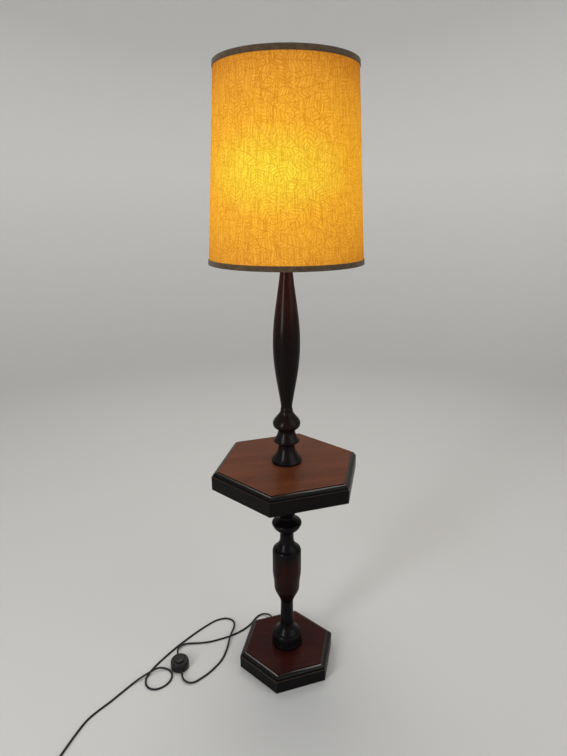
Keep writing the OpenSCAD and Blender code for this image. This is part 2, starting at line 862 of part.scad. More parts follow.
// Outline of the lamp bulb's glass, inset from its outside by t
function glass_outline(t) =
    let (z0 = glass_z, ball_z = z0 + globe_h - globe_r, neck = lamp_base_r + 0.6)
    concat(
        [[neck - t, z0 + t]],
        ease(neck - t, z0 + 8, globe_r - t, ball_z, 16),
        arc(0, ball_z, globe_r - t, globe_r - t, 4, 86, 14)
    );

module bulb_glass() {
    color([0.98, 0.96, 0.9])
        difference() {
            turned(concat(glass_outline(0), [[0.01, glass_z + globe_h]]));
            turned(concat(glass_outline(glass_t), [[0.01, glass_z + globe_h - glass_t]]));
        }
}

// ---------------------------------------------------------------- shade

// Outside radius of the fabric at height z
function fabric_r(z) = shade_bottom_d / 2 - trim_t - (z - shade_bottom_z) * shade_slope;

// Ring of revolution that follows the shade's slope, from radius offset in_by to out_by
module shade_band(z0, z1, in_by, out_by) {
    rotate_extrude($fn = 128)
        polygon([
            [fabric_r(z0) + in_by, z0], [fabric_r(z0) + out_by, z0],
            [fabric_r(z1) + out_by, z1], [fabric_r(z1) + in_by, z1]
        ]);
}

module shade_fabric() {
    color([0.93, 0.72, 0.3, 0.9])
        shade_band(shade_bottom_z + rim_t, shade_top_z - rim_t, -shade_t, 0);
}

// Section of a trim tape that is folded over an edge of the shell; dir points away from the edge
function trim_section(edge_z, dir) =
    let (fold_z = edge_z + dir * (rim_t - trim_skin),
         out_z = edge_z + dir * trim_h,
         in_z = edge_z + dir * rim_in,
         soft = trim_t * 0.35,
         in_by = shade_t + trim_skin)
    [
        [fabric_r(edge_z) - in_by - trim_in_t, edge_z],
        [fabric_r(edge_z) + trim_t - soft, edge_z],
        [fabric_r(edge_z) + trim_t, edge_z + dir * soft],
        [fabric_r(out_z) + trim_t, out_z - dir * soft],
        [fabric_r(out_z) + trim_t - soft, out_z],
        [fabric_r(out_z) + trim_skin, out_z],
        [fabric_r(fold_z) + trim_skin, fold_z],
        [fabric_r(fold_z) - in_by, fold_z],
        [fabric_r(in_z) - in_by, in_z],
        [fabric_r(in_z) - in_by - trim_in_t, in_z]
    ];

module top_trim() {
    color([0.36, 0.31, 0.25])
        rotate_extrude($fn = 128) polygon(trim_section(shade_top_z, -1));
}

module bottom_trim() {
    color([0.36, 0.31, 0.25])
        rotate_extrude($fn = 128) polygon(trim_section(shade_bottom_z, 1));
}

// Radius at which a frame wire lies against the folded trim's inside
function wire_ring_r(z) =
    fabric_r(z) - shade_t - trim_skin - trim_in_t - soft_clear - frame_wire_r;

module wire_ring(z) {
    translate([0, 0, z])
        rotate_extrude($fn = 128) translate([wire_ring_r(z), 0]) circle(r = frame_wire_r, $fn = 24);
}

// Three arms bent up from the hub to the top ring, which they are welded to
module shade_spider() {
    arm_z = seat_z + hub_t / 2;
    rim = wire_ring_r(top_ring_z) - 2 * frame_wire_r - weld_gap;
    bend_r = rim - arm_rise_w;
    arm = [
        [arm_start_r, 0, arm_z], [bend_r - 4, 0, arm_z], [bend_r, 0, arm_z + 0.8],
        [bend_r + 3, 0, arm_z + 3], [rim - 3, 0, top_ring_z - 1], [rim, 0, top_ring_z],
        [rim + frame_wire_r, 0, top_ring_z]
    ];
    color([0.75, 0.7, 0.6]) {
        tube_z(hub_r, stud_r + run_clear, seat_z, seat_z + hub_t);
        for (a = [30, 150, 270]) rotate(a) swept_tube(arm, frame_wire_r, 8, [0, 1, 0]);
    }
}

module shade_top_ring() {
    color([0.75, 0.7, 0.6]) wire_ring(top_ring_z);
}

module shade_bottom_ring() {
    color([0.75, 0.7, 0.6]) wire_ring(shade_bottom_z + rim_t + frame_wire_r + 1);
}

// ---------------------------------------------------------------- cord

// Direction and place of the switch's two cord entries; end is 1 at the back and -1 at the front
function switch_dir(end) = [-end * sin(switch_turn), end * cos(switch_turn), 0];
function switch_end(end, along) =
    [switch_at[0], switch_at[1], switch_split_z] + along * switch_dir(end);

// Point and direction of the coil's middle line at angle a, counted up from its start
function coil_turn_r(a) =
    coil_r + turn_pitch * abs(a - coil_mid_a) / 360;
function coil_z(a) =
    let (t = min(1, max(0, (a - coil_mid_a + 90) / 180)))
    coil_low_z + (coil_high_z - coil_low_z) * t * t * (3 - 2 * t);
function coil_point(a) =
    [coil_centre[0] + coil_turn_r(a) * cos(a), coil_centre[1] + coil_turn_r(a) * sin(a), coil_z(a)];
coil_in = coil_point(coil_start_a);
coil_out = coil_point(coil_end_a);
in_dir = [-sin(coil_start_a), cos(coil_start_a), 0];
out_dir = [-sin(coil_end_a), cos(coil_end_a), 0];

route_a = concat(
    [[0, relief_tip_y, exit_z], [0, relief_tip_y + 2 * cord_d, exit_z - 0.4]],
    route_a_mid,
    [switch_end(1, switch_tip + 2 * cord_d), switch_end(1, switch_tip)]
);
route_b = concat(
    [switch_end(-1, switch_tip), switch_end(-1, switch_tip + 2 * cord_d)],
    route_b_mid,
    [coil_in - 2 * cord_d * in_dir, coil_in]
);
coil_line = concat(
    [coil_in, coil_in + 0.5 * cord_d * in_dir],
    [
        for (k = [1 : coil_rings * (turns_low + turns_high) - 1])
            coil_point(coil_start_a + 360 * k / coil_rings)
    ],
    [coil_out - 0.5 * cord_d * out_dir, coil_out]
);
plug_z = plug_h / 2;
tail_end = coil_out + tail_l * out_dir + [0, 0, plug_z - coil_out[2]];
tail_line = [coil_out, coil_out + cord_d * out_dir, tail_end - cord_d * out_dir, tail_end];

module strain_relief() {
    inside_l = base_rail_w + relief_inside;
    tip_r_relief = cord_r + 0.9;
    color([0.07, 0.07, 0.07])
        translate([0, exit_y, exit_z])
            rotate([-90, 0, 0])
                difference() {
                    turned([
                        [relief_barrel_r, -inside_l], [relief_barrel_r, 0],
                        [relief_flange_r, 0], [relief_flange_r, relief_flange_t - 0.5],
                        [relief_flange_r - 0.5, relief_flange_t], [relief_barrel_r + 0.6, relief_flange_t],
                        [tip_r_relief, relief_l]
                    ]);
                    axis_bore(cord_r + 0.1, -inside_l, relief_l);
                }
}

module inner_cord() {
    bend = [
        for (k = [0 : 5]) let (a = 90 * k / 5)
            [0, cord_bend_r * (1 - sin(a)), exit_z + cord_bend_r * (1 - cos(a))]
    ];
    color([0.1, 0.09, 0.08])
        swept_tube(concat([[0, relief_tip_y, exit_z]], bend, [[0, 0, core_z + 4]]),
            cord_r, cord_sides, [1, 0, 0]);
}

module cord_to_switch() {
    color([0.1, 0.09, 0.08]) swept_tube(smooth_line(route_a, cord_z), cord_r, cord_sides);
}

module cord_to_coil() {
    color([0.1, 0.09, 0.08]) swept_tube(smooth_line(route_b, cord_z), cord_r, cord_sides);
}

module cord_coil() {
    color([0.1, 0.09, 0.08]) swept_tube(coil_line, cord_r, 6);
}

module cord_tail() {
    color([0.1, 0.09, 0.08]) swept_tube(tail_line, cord_r, cord_sides);
}

// Band round the coil's turns, at the angle where the layers reverse
module coil_tie() {
    in_r = coil_r - cord_r - tie_gap - tie_t;
    out_r = coil_r + 2 * turn_pitch + 0.6 + cord_r + tie_gap + tie_t;
    top = coil_high_z + cord_r + tie_gap + tie_t;
    corner = 2.5;
    color([0.05, 0.05, 0.05])
        translate([coil_centre[0], coil_centre[1], 0])
            rotate(coil_mid_a)
                translate([0, tie_w / 2, 0])
                    rotate([90, 0, 0])
                        linear_extrude(tie_w)
                            difference() {
                                round_box([in_r, 0], [out_r, top], corner);
                                round_box([in_r + tie_t, tie_t], [out_r - tie_t, top - tie_t], corner - tie_t);
                            }
}

// Rectangle between two corners with round corners
module round_box(low, high, r) {
    translate([low[0] + r, low[1]]) square([high[0] - low[0] - 2 * r, high[1] - low[1]]);
    translate([low[0], low[1] + r]) square([high[0] - low[0], high[1] - low[1] - 2 * r]);
    for (x = [low[0] + r, high[0] - r], y = [low[1] + r, high[1] - r])
        translate([x, y]) circle(r = r, $fn = 32);
}

// ---------------------------------------------------------------- plug

module plug_frame() {
    translate([tail_end[0], tail_end[1], 0]) rotate(atan2(out_dir[1], out_dir[0])) children();
}

// Outline of the plug's body in plan, taken in by inset
module plug_plan(inset) {
    shoulder = 9;
    half = plug_w / 2 - inset;
    x0 = plug_relief_l - 3 + inset;
    x1 = plug_relief_l + plug_l - inset;
    polygon([
        [x0, -5 + inset / 2], [x0 + shoulder, -half], [x1, -half],
        [x1, half], [x0 + shoulder, half], [x0, 5 - inset / 2]
    ]);
}

module blade_slots(grow) {
    x1 = plug_relief_l + plug_l;
    for (side = [-1, 1])
        translate([x1 - blade_in, side * blade_gap / 2 - blade_t / 2 - grow, plug_z - blade_w / 2 - grow])
            cube([blade_in + blade_l, blade_t + 2 * grow, blade_w + 2 * grow]);
}

module plug_body() {
    edge = 2;
    color([0.08, 0.08, 0.08])
        plug_frame()
            difference() {
                union() {
                    hull() {
                        translate([0, 0, edge]) linear_extrude(plug_h - 2 * edge) plug_plan(0);
                        linear_extrude(plug_h) plug_plan(edge);
                    }
                    translate([0, 0, plug_z])
                        rotate([0, 90, 0])
                            cylinder(r1 = cord_r + 0.9, r2 = 5.2, h = plug_relief_l + 2, $fn = 32);
                }
                blade_slots(blade_clear);
            }
}

module plug_blades() {
    hole_r = 1.6;
    x1 = plug_relief_l + plug_l;
    color([0.8, 0.7, 0.45])
        plug_frame()
            difference() {
                blade_slots(0);
                translate([x1 + blade_l - 4, plug_w, plug_z])
                    rotate([90, 0, 0]) cylinder(r = hole_r, h = 2 * plug_w, $fn = 24);
            }
}

// ---------------------------------------------------------------- foot switch

module switch_frame() {
    translate([switch_at[0], switch_at[1], 0]) rotate(switch_turn) children();
}

// Oblong with round ends, taken in by inset
module oblong(inset) {
    r = switch_w / 2 - inset;
    y = switch_l / 2 - switch_w / 2;
    translate([-r, -y]) square([2 * r, 2 * y]);
    for (side = [-1, 1]) translate([0, side * y]) circle(r = r, $fn = 48);
}

module boot_bores() {
    for (end = [-1, 1])
        translate([0, end * (switch_l / 2 - boot_in), switch_split_z])
            rotate([-end * 90, 0, 0]) cylinder(r = boot_r + 0.1, h = boot_in + 1);
}

module screw_places() {
    for (side = [-1, 1]) translate([side * screw_at[0], side * screw_at[1], 0]) children();
}

module switch_lower() {
    edge = 1.2;
    color([0.07, 0.07, 0.07])
        switch_frame()
            difference() {
                union() {
                    linear_extrude(edge) oblong(edge);
                    translate([0, 0, edge]) linear_extrude(switch_split_z - edge) oblong(0);
                }
                boot_bores();
                screw_places() {
                    translate([0, 0, -1]) cylinder(r = screw_r + 0.1, h = switch_split_z + 2, $fn = 24);
                    translate([0, 0, -1]) cylinder(r = screw_head_r + 0.1, h = screw_head_t + 1.3, $fn = 24);
                }
            }
}

module switch_upper() {
    pocket_r = button_flange_r + 0.3;
    color([0.08, 0.08, 0.08])
        switch_frame()
            difference() {
                hull() {
                    translate([0, 0, switch_split_z]) linear_extrude(switch_h - switch_split_z - 6) oblong(0);
                    translate([0, 0, switch_h - 3]) linear_extrude(1) oblong(1.6);
                    translate([0, 0, switch_h - 1]) linear_extrude(1) oblong(4.5);
                }
                translate([0, 0, switch_split_z]) cylinder(r = button_r + run_clear, h = switch_h);
                translate([0, 0, switch_split_z - 1])
                    cylinder(r = pocket_r, h = button_flange_z + button_flange_t + button_gap - switch_split_z + 1);
                boot_bores();
                screw_places()
                    cylinder(r = screw_r + 0.1, h = screw_top_z + 0.5, $fn = 24);
            }
}

module switch_boots() {
    start = switch_l / 2 - boot_in;
    color([0.06, 0.06, 0.06])
        switch_frame()
            for (end = [-1, 1])
                translate([0, 0, switch_split_z])
                    rotate([-end * 90, 0, 0])
                        turned([
                            [boot_r, start + 0.2], [boot_r, start + boot_in],
                            [boot_r + 0.5, start + boot_in + 0.5], [boot_r + 0.5, start + boot_in + 1.5],
                            [boot_r - 0.2, start + boot_in + 2.2], [boot_tip_r, switch_tip]
                        ]);
}

module switch_screws() {
    color([0.6, 0.6, 0.6])
        switch_frame()
            screw_places() {
                translate([0, 0, 0.3]) cylinder(r = screw_head_r, h = screw_head_t, $fn = 24);
                translate([0, 0, 0.3]) cylinder(r = screw_r, h = screw_top_z - 0.3, $fn = 24);
            }
}

module switch_button() {
    z0 = button_flange_z;
    top = switch_h + button_up;
    color([0.1, 0.1, 0.1])
        switch_frame()
            turned(concat(
                [[button_flange_r, z0], [button_flange_r, z0 + button_flange_t],
                 [button_r, z0 + button_flange_t], [button_r, top - 2]],
                arc(button_r - 2, top - 2, 2, 1.6, 10, 80, 6),
                [[button_r * 0.5, top - 0.1], [0.01, top]]
            ));
}

module switch_spring() {
    low = switch_split_z + spring_wire_r + 0.1;
    high = button_flange_z - spring_wire_r - 0.1;
    steps = 8 * spring_turns;
    line = [
        for (k = [0 : steps])
            [spring_r * cos(45 * k), spring_r * sin(45 * k), low + (high - low) * k / steps]
    ];
    color([0.7, 0.7, 0.72]) switch_frame() swept_tube(line, spring_wire_r, 6);
}

// ---------------------------------------------------------------- measures

// Least gap between the coil's turns, from ring to ring at least three quarters of a turn apart
coil_gap = min([
    for (i = [0 : len(coil_line) - 1]) for (j = [i + 18 : len(coil_line) - 1])
        norm(coil_line[i] - coil_line[j])
]) - cord_d;
echo(coil_gap = coil_gap);
echo(cord_lengths = [
    for (line = [smooth_line(route_a, cord_z), smooth_line(route_b, cord_z), coil_line, tail_line])
        line_length(line)
]);
echo(cord_rings = [for (line = [smooth_line(route_a, cord_z), smooth_line(route_b, cord_z)]) len(line)]);

// ---------------------------------------------------------------- the model

for (i = [1 : SIDES]) {
    base_rail(i);
    table_rail(i);
}
base_panel();
base_weight();
base_felt();
lower_column();
table_panel();
upper_column();
lamp_pipe();
pipe_washer();
pipe_nut();
column_cap();
neck_spacer();
harp_saddle();
harp_wire();
harp_stud();
ferrule_left();
ferrule_right();
finial();
socket_cap();
socket_shell();
socket_liner();
socket_core();
screw_shell();
bulb_base();
bulb_glass();
shade_fabric();
shade_spider();
shade_top_ring();
shade_bottom_ring();
top_trim();
bottom_trim();
inner_cord();
strain_relief();
cord_to_switch();
cord_to_coil();
cord_coil();
cord_tail();
coil_tie();
plug_body();
plug_blades();
switch_lower();
switch_upper();
switch_boots();
switch_screws();
switch_spring();
switch_button();
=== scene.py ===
import itertools
import math
import random
from collections import namedtuple

import bpy
from mathutils import Matrix, Vector, noise


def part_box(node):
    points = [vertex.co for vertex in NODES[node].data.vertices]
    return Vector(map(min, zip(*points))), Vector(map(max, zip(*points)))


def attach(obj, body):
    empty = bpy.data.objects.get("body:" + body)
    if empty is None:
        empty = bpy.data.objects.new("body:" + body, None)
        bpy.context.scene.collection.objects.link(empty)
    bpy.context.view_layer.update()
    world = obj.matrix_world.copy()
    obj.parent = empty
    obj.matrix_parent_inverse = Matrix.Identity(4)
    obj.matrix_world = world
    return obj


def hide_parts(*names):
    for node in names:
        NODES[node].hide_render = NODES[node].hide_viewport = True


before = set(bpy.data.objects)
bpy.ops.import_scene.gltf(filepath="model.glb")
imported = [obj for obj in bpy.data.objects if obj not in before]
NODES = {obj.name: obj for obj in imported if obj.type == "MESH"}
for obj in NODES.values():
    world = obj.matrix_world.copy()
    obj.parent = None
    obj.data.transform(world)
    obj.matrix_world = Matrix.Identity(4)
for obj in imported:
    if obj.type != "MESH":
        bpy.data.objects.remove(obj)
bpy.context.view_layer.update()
MM = 0.001                 # lengths are in metres


# ---------------------------------------------------------------- objects and meshes


def add(name, data):
    """A new object in the scene."""
    obj = bpy.data.objects.new(name, data)
    bpy.context.scene.collection.objects.link(obj)
    return obj


def smooth_mesh(name, points, faces, mats, indices=None):
    """A new smooth mesh; indices give each face its material."""
    mesh = bpy.data.meshes.new(name)
    mesh.from_pydata([tuple(p) for p in points], [], faces)
    for mat in mats:
        mesh.materials.append(mat)
    if indices:
        mesh.polygons.foreach_set("material_index", indices)
    mesh.polygons.foreach_set("use_smooth", [True] * len(mesh.polygons))
    return add(name, mesh)


def new_piece(name, points, faces, mats, body, replaces=(), indices=None):
    """A mesh that moves with a body, and stands in for the CAD nodes that it replaces."""
    obj = smooth_mesh(name, points, faces, mats, indices)
    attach(obj, body)
    if replaces:
        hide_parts(*replaces)
    return obj


def strip_faces(rows, per_row, first=0, closed=False):
    """Faces between successive rows of points; closed joins the end of each row to its start."""
    faces = []
    for row in range(rows - 1):
        start = first + row * per_row
        for k in range(per_row if closed else per_row - 1):
            a, b = start + k, start + (k + 1) % per_row
            faces.append((a, b, b + per_row, a + per_row))
    return faces


def neighbours(points, k):
    """The points before and after point k; at an end, the point itself."""
    return points[max(k - 1, 0)], points[min(k + 1, len(points) - 1)]


# ---------------------------------------------------------------- camera

CAM_RANGE = 1.2608         # level distance from the lamp's axis
CAM_HEIGHT = 1.2299
CAM_AZIMUTH = -18.64       # degrees round the lamp, where 0 looks along +Y
CAM_YAW = -0.33            # degrees that the camera is turned off the axis
CAM_PITCH = 17.69          # degrees below the horizon
CAM_ROLL = -0.20
FOCAL_PX = 552.3           # in pixels of an image that is IMAGE_H pixels high
IMAGE_H = 756
SENSOR = 36.0
CLIP = (0.01, 60)


def make_camera():
    data = bpy.data.cameras.new("camera")
    data.sensor_width = SENSOR
    data.lens = SENSOR * FOCAL_PX / IMAGE_H
    data.clip_start, data.clip_end = CLIP
    camera = add("camera", data)
    turn = math.radians(CAM_AZIMUTH)
    camera.location = (CAM_RANGE * math.sin(turn), -CAM_RANGE * math.cos(turn), CAM_HEIGHT)
    heading = Matrix.Rotation(turn - math.radians(CAM_YAW), 4, "Z")
    tilt = Matrix.Rotation(math.radians(90 - CAM_PITCH), 4, "X")
    roll = Matrix.Rotation(math.radians(CAM_ROLL), 4, "Z")
    camera.rotation_euler = (heading @ tilt @ roll).to_euler()
    bpy.context.scene.camera = camera


# ---------------------------------------------------------------- cord

CORD_R = 0.0026
BEVEL_STEPS, SPAN_STEPS = 4, 8         # round the cord, and between two points of its route
EXIT = Vector((0.0, 0.138, 0.009))
LEAD = 4 * CORD_R                      # straight run at each fitting
EXIT_DROP = 0.0004                     # over the first straight run
SWITCH_BACK = Vector((-0.295, 0.093, 0.007))
SWITCH_FRONT = Vector((-0.295, 0.021, 0.007))

ROUTE_A = [
    (-0.003, 0.159, 0.0078), (-0.011, 0.168, 0.0064), (-0.023, 0.173, 0.005), (-0.036, 0.171, 0.0038),
    (-0.048, 0.163, 0.003), (-0.061, 0.151, CORD_R), (-0.079, 0.138, CORD_R), (-0.101, 0.128, CORD_R),
    (-0.124, 0.121, CORD_R), (-0.148, 0.117, CORD_R), (-0.174, 0.115, CORD_R), (-0.200, 0.115, CORD_R),
    (-0.226, 0.119, CORD_R), (-0.248, 0.124, 0.0034), (-0.266, 0.127, 0.0046), (-0.281, 0.124, 0.0057),
    (-0.291, 0.115, 0.0066),
]
ROUTE_B = [
    (-0.292, -0.001, 0.006), (-0.284, -0.010, 0.0048), (-0.272, -0.014, 0.0036), (-0.257, -0.011, 0.003),
    (-0.220, 0.007, CORD_R), (-0.182, 0.037, CORD_R), (-0.158, 0.073, 0.0036), (-0.143, 0.104, 0.0082),
    (-0.131, 0.126, 0.0084), (-0.119, 0.149, 0.004), (-0.114, 0.169, CORD_R), (-0.122, 0.186, CORD_R),
    (-0.140, 0.195, CORD_R), (-0.170, 0.193, CORD_R), (-0.222, 0.169, CORD_R), (-0.286, 0.131, CORD_R),
    (-0.332, 0.098, CORD_R), (-0.360, 0.075, CORD_R), (-0.377, 0.058, CORD_R), (-0.388, 0.041, CORD_R),
    (-0.391, 0.024, CORD_R), (-0.387, 0.010, CORD_R), (-0.377, 0.000, CORD_R), (-0.362, -0.004, CORD_R),
    (-0.344, 0.000, CORD_R), (-0.329, 0.011, CORD_R), (-0.321, 0.027, CORD_R), (-0.323, 0.044, 0.003),
    (-0.335, 0.056, 0.0042), (-0.354, 0.060, 0.0082), (-0.378, 0.052, 0.0088), (-0.402, 0.043, 0.007),
    (-0.426, 0.033, 0.003), (-0.478, -0.002, CORD_R), (-0.543, -0.046, CORD_R), (-0.610, -0.139, 0.0032),
]

COIL_CENTRE = Vector((-0.601, -0.197, 0.0))
COIL_R = 0.0236                        # at its middle, where it is smallest
TURN_PITCH = 0.0059                    # that each turn grows away from the middle
TURNS_LOW, TURNS_HIGH = 2.5, 2.75
COIL_START = 147.7                     # degrees
COIL_LOW_Z, COIL_HIGH_Z = 0.004, 0.0099
CLIMB = 180                            # degrees over which the cord climbs to the upper layer
COIL_STEPS = 24
TAIL = 0.026
PLUG_Z = 0.007
COIL_MID = COIL_START + 360 * TURNS_LOW
COIL_END = COIL_MID + 360 * TURNS_HIGH


def coil_point(a):
    """The coil's centreline at a degrees: inwards on the lower layer, then outwards on the upper."""
    r = COIL_R + TURN_PITCH * abs(a - COIL_MID) / 360
    t = min(1.0, max(0.0, (a - COIL_MID + CLIMB / 2) / CLIMB))
    z = COIL_LOW_Z + (COIL_HIGH_Z - COIL_LOW_Z) * t * t * (3 - 2 * t)
    return COIL_CENTRE + Vector((r * math.cos(math.radians(a)), r * math.sin(math.radians(a)), z))


def along(a):
    """The coil's direction at a degrees."""
    return Vector((-math.sin(math.radians(a)), math.cos(math.radians(a)), 0))


def route_to_switch():
    start = [EXIT, EXIT + Vector((0, LEAD, -EXIT_DROP))]
    end = [SWITCH_BACK + Vector((0, LEAD, 0)), SWITCH_BACK]
    return start + [Vector(p) for p in ROUTE_A] + end


def route_to_plug():
    start = [SWITCH_FRONT, SWITCH_FRONT - Vector((0, LEAD, 0))]
    coil_in = coil_point(COIL_START)
    steps = int(COIL_STEPS * (TURNS_LOW + TURNS_HIGH))
    coil = [coil_point(COIL_START + 360 * k / COIL_STEPS) for k in range(steps)]
    out = along(COIL_END)
    coil_out = coil_point(COIL_END)
    tail_end = coil_out + TAIL * out
    tail_end.z = PLUG_Z
    tail = [coil_out, coil_out + 2 * CORD_R * out, tail_end - 2 * CORD_R * out, tail_end]
    return start + [Vector(p) for p in ROUTE_B] + [coil_in - LEAD * along(COIL_START)] + coil + tail


def cord_curve(name, points, mat):
    """One open smooth curve through the route's points, level where the cord lies on the floor."""
    curve = bpy.data.curves.new(name, "CURVE")
    curve.dimensions = "3D"
    curve.bevel_depth = CORD_R
    curve.bevel_resolution = BEVEL_STEPS
    curve.resolution_u = SPAN_STEPS
    curve.use_fill_caps = True
    spline = curve.splines.new("BEZIER")
    spline.bezier_points.add(len(points) - 1)
    for k, (point, at) in enumerate(zip(points, spline.bezier_points)):
        before, after = neighbours(points, k)
        reach = min((point - before).length or 1, (after - point).length or 1)
        pull = (after - before).normalized() * reach / 3
        if point.z <= CORD_R:
            pull.z = 0
        at.handle_left_type = at.handle_right_type = "FREE"
        at.co, at.handle_left, at.handle_right = point, point - pull, point + pull
    curve.materials.append(mat)
    return add(name, curve)


def make_cords(mat):
    near = cord_curve("cord_near", route_to_switch(), mat)
    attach(near, "lamp")
    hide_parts("cord_to_switch")
    far = cord_curve("cord_far", route_to_plug(), mat)
    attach(far, "lamp")
    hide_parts("cord_to_coil", "cord_coil", "cord_tail")


# ---------------------------------------------------------------- shader helpers


def rgba(colour):
    """A colour of three numbers, made opaque; anything else stays as it is."""
    return (*colour, 1) if isinstance(colour, tuple) else colour


class Shader:
    """A material, with short calls for the nodes that feed its surface."""

    def __init__(self, name, **sockets):
        self.mat = bpy.data.materials.new(name)
        self.mat.use_nodes = True
        self.tree = self.mat.node_tree
        self.surface = self.tree.nodes["Principled BSDF"]
        self.set(**sockets)
        self.coord = self.node("TexCoord", {}).outputs["Object"]

    def feed(self, socket, value):
        if isinstance(value, bpy.types.NodeSocket):
            self.tree.links.new(value, socket)
        else:
            socket.default_value = value

    def set(self, **sockets):
        """Gives each named input of the surface a socket, a number or a colour."""
        for name, value in sockets.items():
            self.feed(self.surface.inputs[name.replace("_", " ")], rgba(value))

    def fed(self, name):
        """The socket that feeds an input of the surface."""
        return self.surface.inputs[name].links[0].from_socket

    def node(self, kind, inputs, **props):
        made = self.tree.nodes.new("ShaderNode" + kind)
        for name, value in props.items():
            setattr(made, name, value)
        for key, value in inputs.items():
            self.feed(made.inputs[key], value)
        return made

    def mapped(self, scale=(1, 1, 1), turn=0):
        """The object's coordinates, turned about Z by degrees and then scaled."""
        vector = self.coord
        if turn:
            turned = (0, 0, math.radians(turn))
            vector = self.node("Mapping", {"Vector": vector, "Rotation": turned}).outputs[0]
        return self.node("Mapping", {"Vector": vector, "Scale": scale}).outputs[0]

    def noise(self, vector, scale, detail=3.0, rough=0.5, distortion=0.0):
        made = self.node("TexNoise", {"Vector": vector, "Scale": scale, "Detail": detail,
                                      "Roughness": rough, "Distortion": distortion})
        return made.outputs["Fac"]

    def math(self, operation, *values):
        return self.node("Math", dict(enumerate(values)), operation=operation).outputs[0]

    def weighted(self, *pairs):
        """Sum of (socket, share) pairs."""
        total = None
        for socket, share in pairs:
            term = self.math("MULTIPLY", socket, share)
            total = term if total is None else self.math("ADD", total, term)
        return total

    def blend(self, kind, share, a, b):
        inputs = {"Fac": share, "Color1": rgba(a), "Color2": rgba(b)}
        return self.node("MixRGB", inputs, blend_type=kind).outputs["Color"]

    def ramp(self, value, *stops):
        """Colour that runs through stops of (value, colour)."""
        made = self.node("ValToRGB", {"Fac": value})
        elements = made.color_ramp.elements
        while len(elements) < len(stops):
            elements.new(0.5)
        for element, (place, colour) in zip(elements, stops):
            element.position = place
            element.color = rgba(colour)
        return made.outputs["Color"]

    def spread(self, value, low, high, to_low=0.0, to_high=1.0):
        """Moves the range low to high onto to_low to to_high, and keeps what lies beyond at its ends."""
        made = self.node("MapRange", {"Value": value, "From Min": low, "From Max": high,
                                      "To Min": to_low, "To Max": to_high})
        return made.outputs[0]

    def axis(self, name):
        """The object's own coordinate X, Y or Z."""
        return self.node("SeparateXYZ", {"Vector": self.coord}).outputs[name]

    def upward(self):
        """How far the surface faces up: 1 on top, 0 on a side."""
        normal = self.node("TexCoord", {}).outputs["Normal"]
        return self.node("SeparateXYZ", {"Vector": normal}).outputs["Z"]

    def bump(self, height, strength, distance):
        made = self.node("Bump", {"Height": height, "Strength": strength, "Distance": distance})
        self.set(Normal=made.outputs["Normal"])


def srgb(*channels):
    """Linear colour of an sRGB colour whose channels run from 0 to 255."""
    shares = [c / 255 for c in channels]
    return tuple(c / 12.92 if c < 0.0404 else ((c + 0.055) / 1.055) ** 2.4 for c in shares)


def scaled(colours, *shares):
    """The same colours, each channel times its share."""
    return [tuple(c * k for c, k in zip(colour, shares)) for colour in colours]


# ---------------------------------------------------------------- wood

ALONG = 0.045                  # scale of the grain along the wood, where across it is 1
STREAKS, PORES = 8, 30         # how many times finer than the broad figure they are
PORE_TINT = (0.55, 0.48, 0.46)
PANEL_GRAIN_TURN = 8           # degrees
EDGE_DARK, EDGE_CLEAR = 0.9 * MM, 0.5 * MM      # below a panel's top: stained to here, veneer from here
# The first of these is where a rail's upward faces start to be painted lighter, a painted highlight; the
# second is where their polish is full.
HIGHLIGHT_FROM, POLISH_FULL = 0.93, 0.97              # how far up a rail's surface faces

# From the dark of the grain to its light.
TABLE_RED = [srgb(80, 42, 24), srgb(90, 49, 28), srgb(102, 57, 35)]
BASE_RED = [srgb(36, 12, 9), srgb(46, 15, 11), srgb(55, 20, 14)]
NEAR_BLACK = [srgb(8, 6, 6), srgb(12, 9, 9), srgb(18, 13, 12)]
COLUMN_GRAIN = [(0.55, 0.52, 0.50), (0.95, 0.93, 0.92), (1.35, 1.3, 1.28)]
# Colour painted onto the rails' upward faces: a painted highlight, lighter than the near-black wood.
PAINTED_HIGHLIGHT = srgb(58, 48, 41)

# Height, and colour of each column: its stain, with painted light and shade in it.
# Lower column: near-black with a red band from 0.25 to 0.31 m high, partly stain and partly painted light
# and shade.
LOWER_STAIN_AND_PAINTED_LIGHT = [(0.049, srgb(12, 10, 11)), (0.180, srgb(10, 8, 9)), (0.250, srgb(28, 9, 7)),
               (0.310, srgb(34, 10, 8)), (0.345, srgb(12, 9, 11)), (0.593, srgb(10, 8, 9))]
# Upper column: redder towards its top, painted warm light from the lamp bulb above, over the stain.
UPPER_STAIN_AND_PAINTED_LIGHT = [(0.609, srgb(15, 11, 12)), (0.700, srgb(26, 16, 14)), (0.800, srgb(14, 7, 7)),
               (0.930, srgb(19, 9, 9)), (1.050, srgb(48, 16, 11)), (1.166, srgb(66, 22, 13))]


def wood(name, colours, across=(1, 1, ALONG), turn=0, figure=30, gloss=0.12, gloss_rough=0.1, rough=0.36):
    """Stained and varnished wood; across scales its three axes after the turn, small along the grain."""
    s = Shader(name, Coat_Weight=gloss, Coat_Roughness=gloss_rough, Specular_IOR_Level=0.05)
    grain = s.mapped(across, turn)
    broad = s.noise(grain, figure, distortion=0.4)
    streak = s.noise(grain, figure * STREAKS, detail=4, rough=0.55, distortion=0.2)
    pores = s.noise(grain, figure * PORES, detail=2)
    colour = s.ramp(s.weighted((broad, 0.45), (streak, 0.55)), *zip((0.34, 0.50, 0.68), colours))
    porous = s.spread(pores, 0.52, 0.66, to_high=0.5)
    s.set(Base_Color=s.blend("MULTIPLY", porous, colour, PORE_TINT))
    s.set(Roughness=s.spread(streak, 0.2, 0.8, rough - 0.04, rough + 0.08))
    s.bump(streak, strength=0.05, distance=0.2 * MM)
    return s


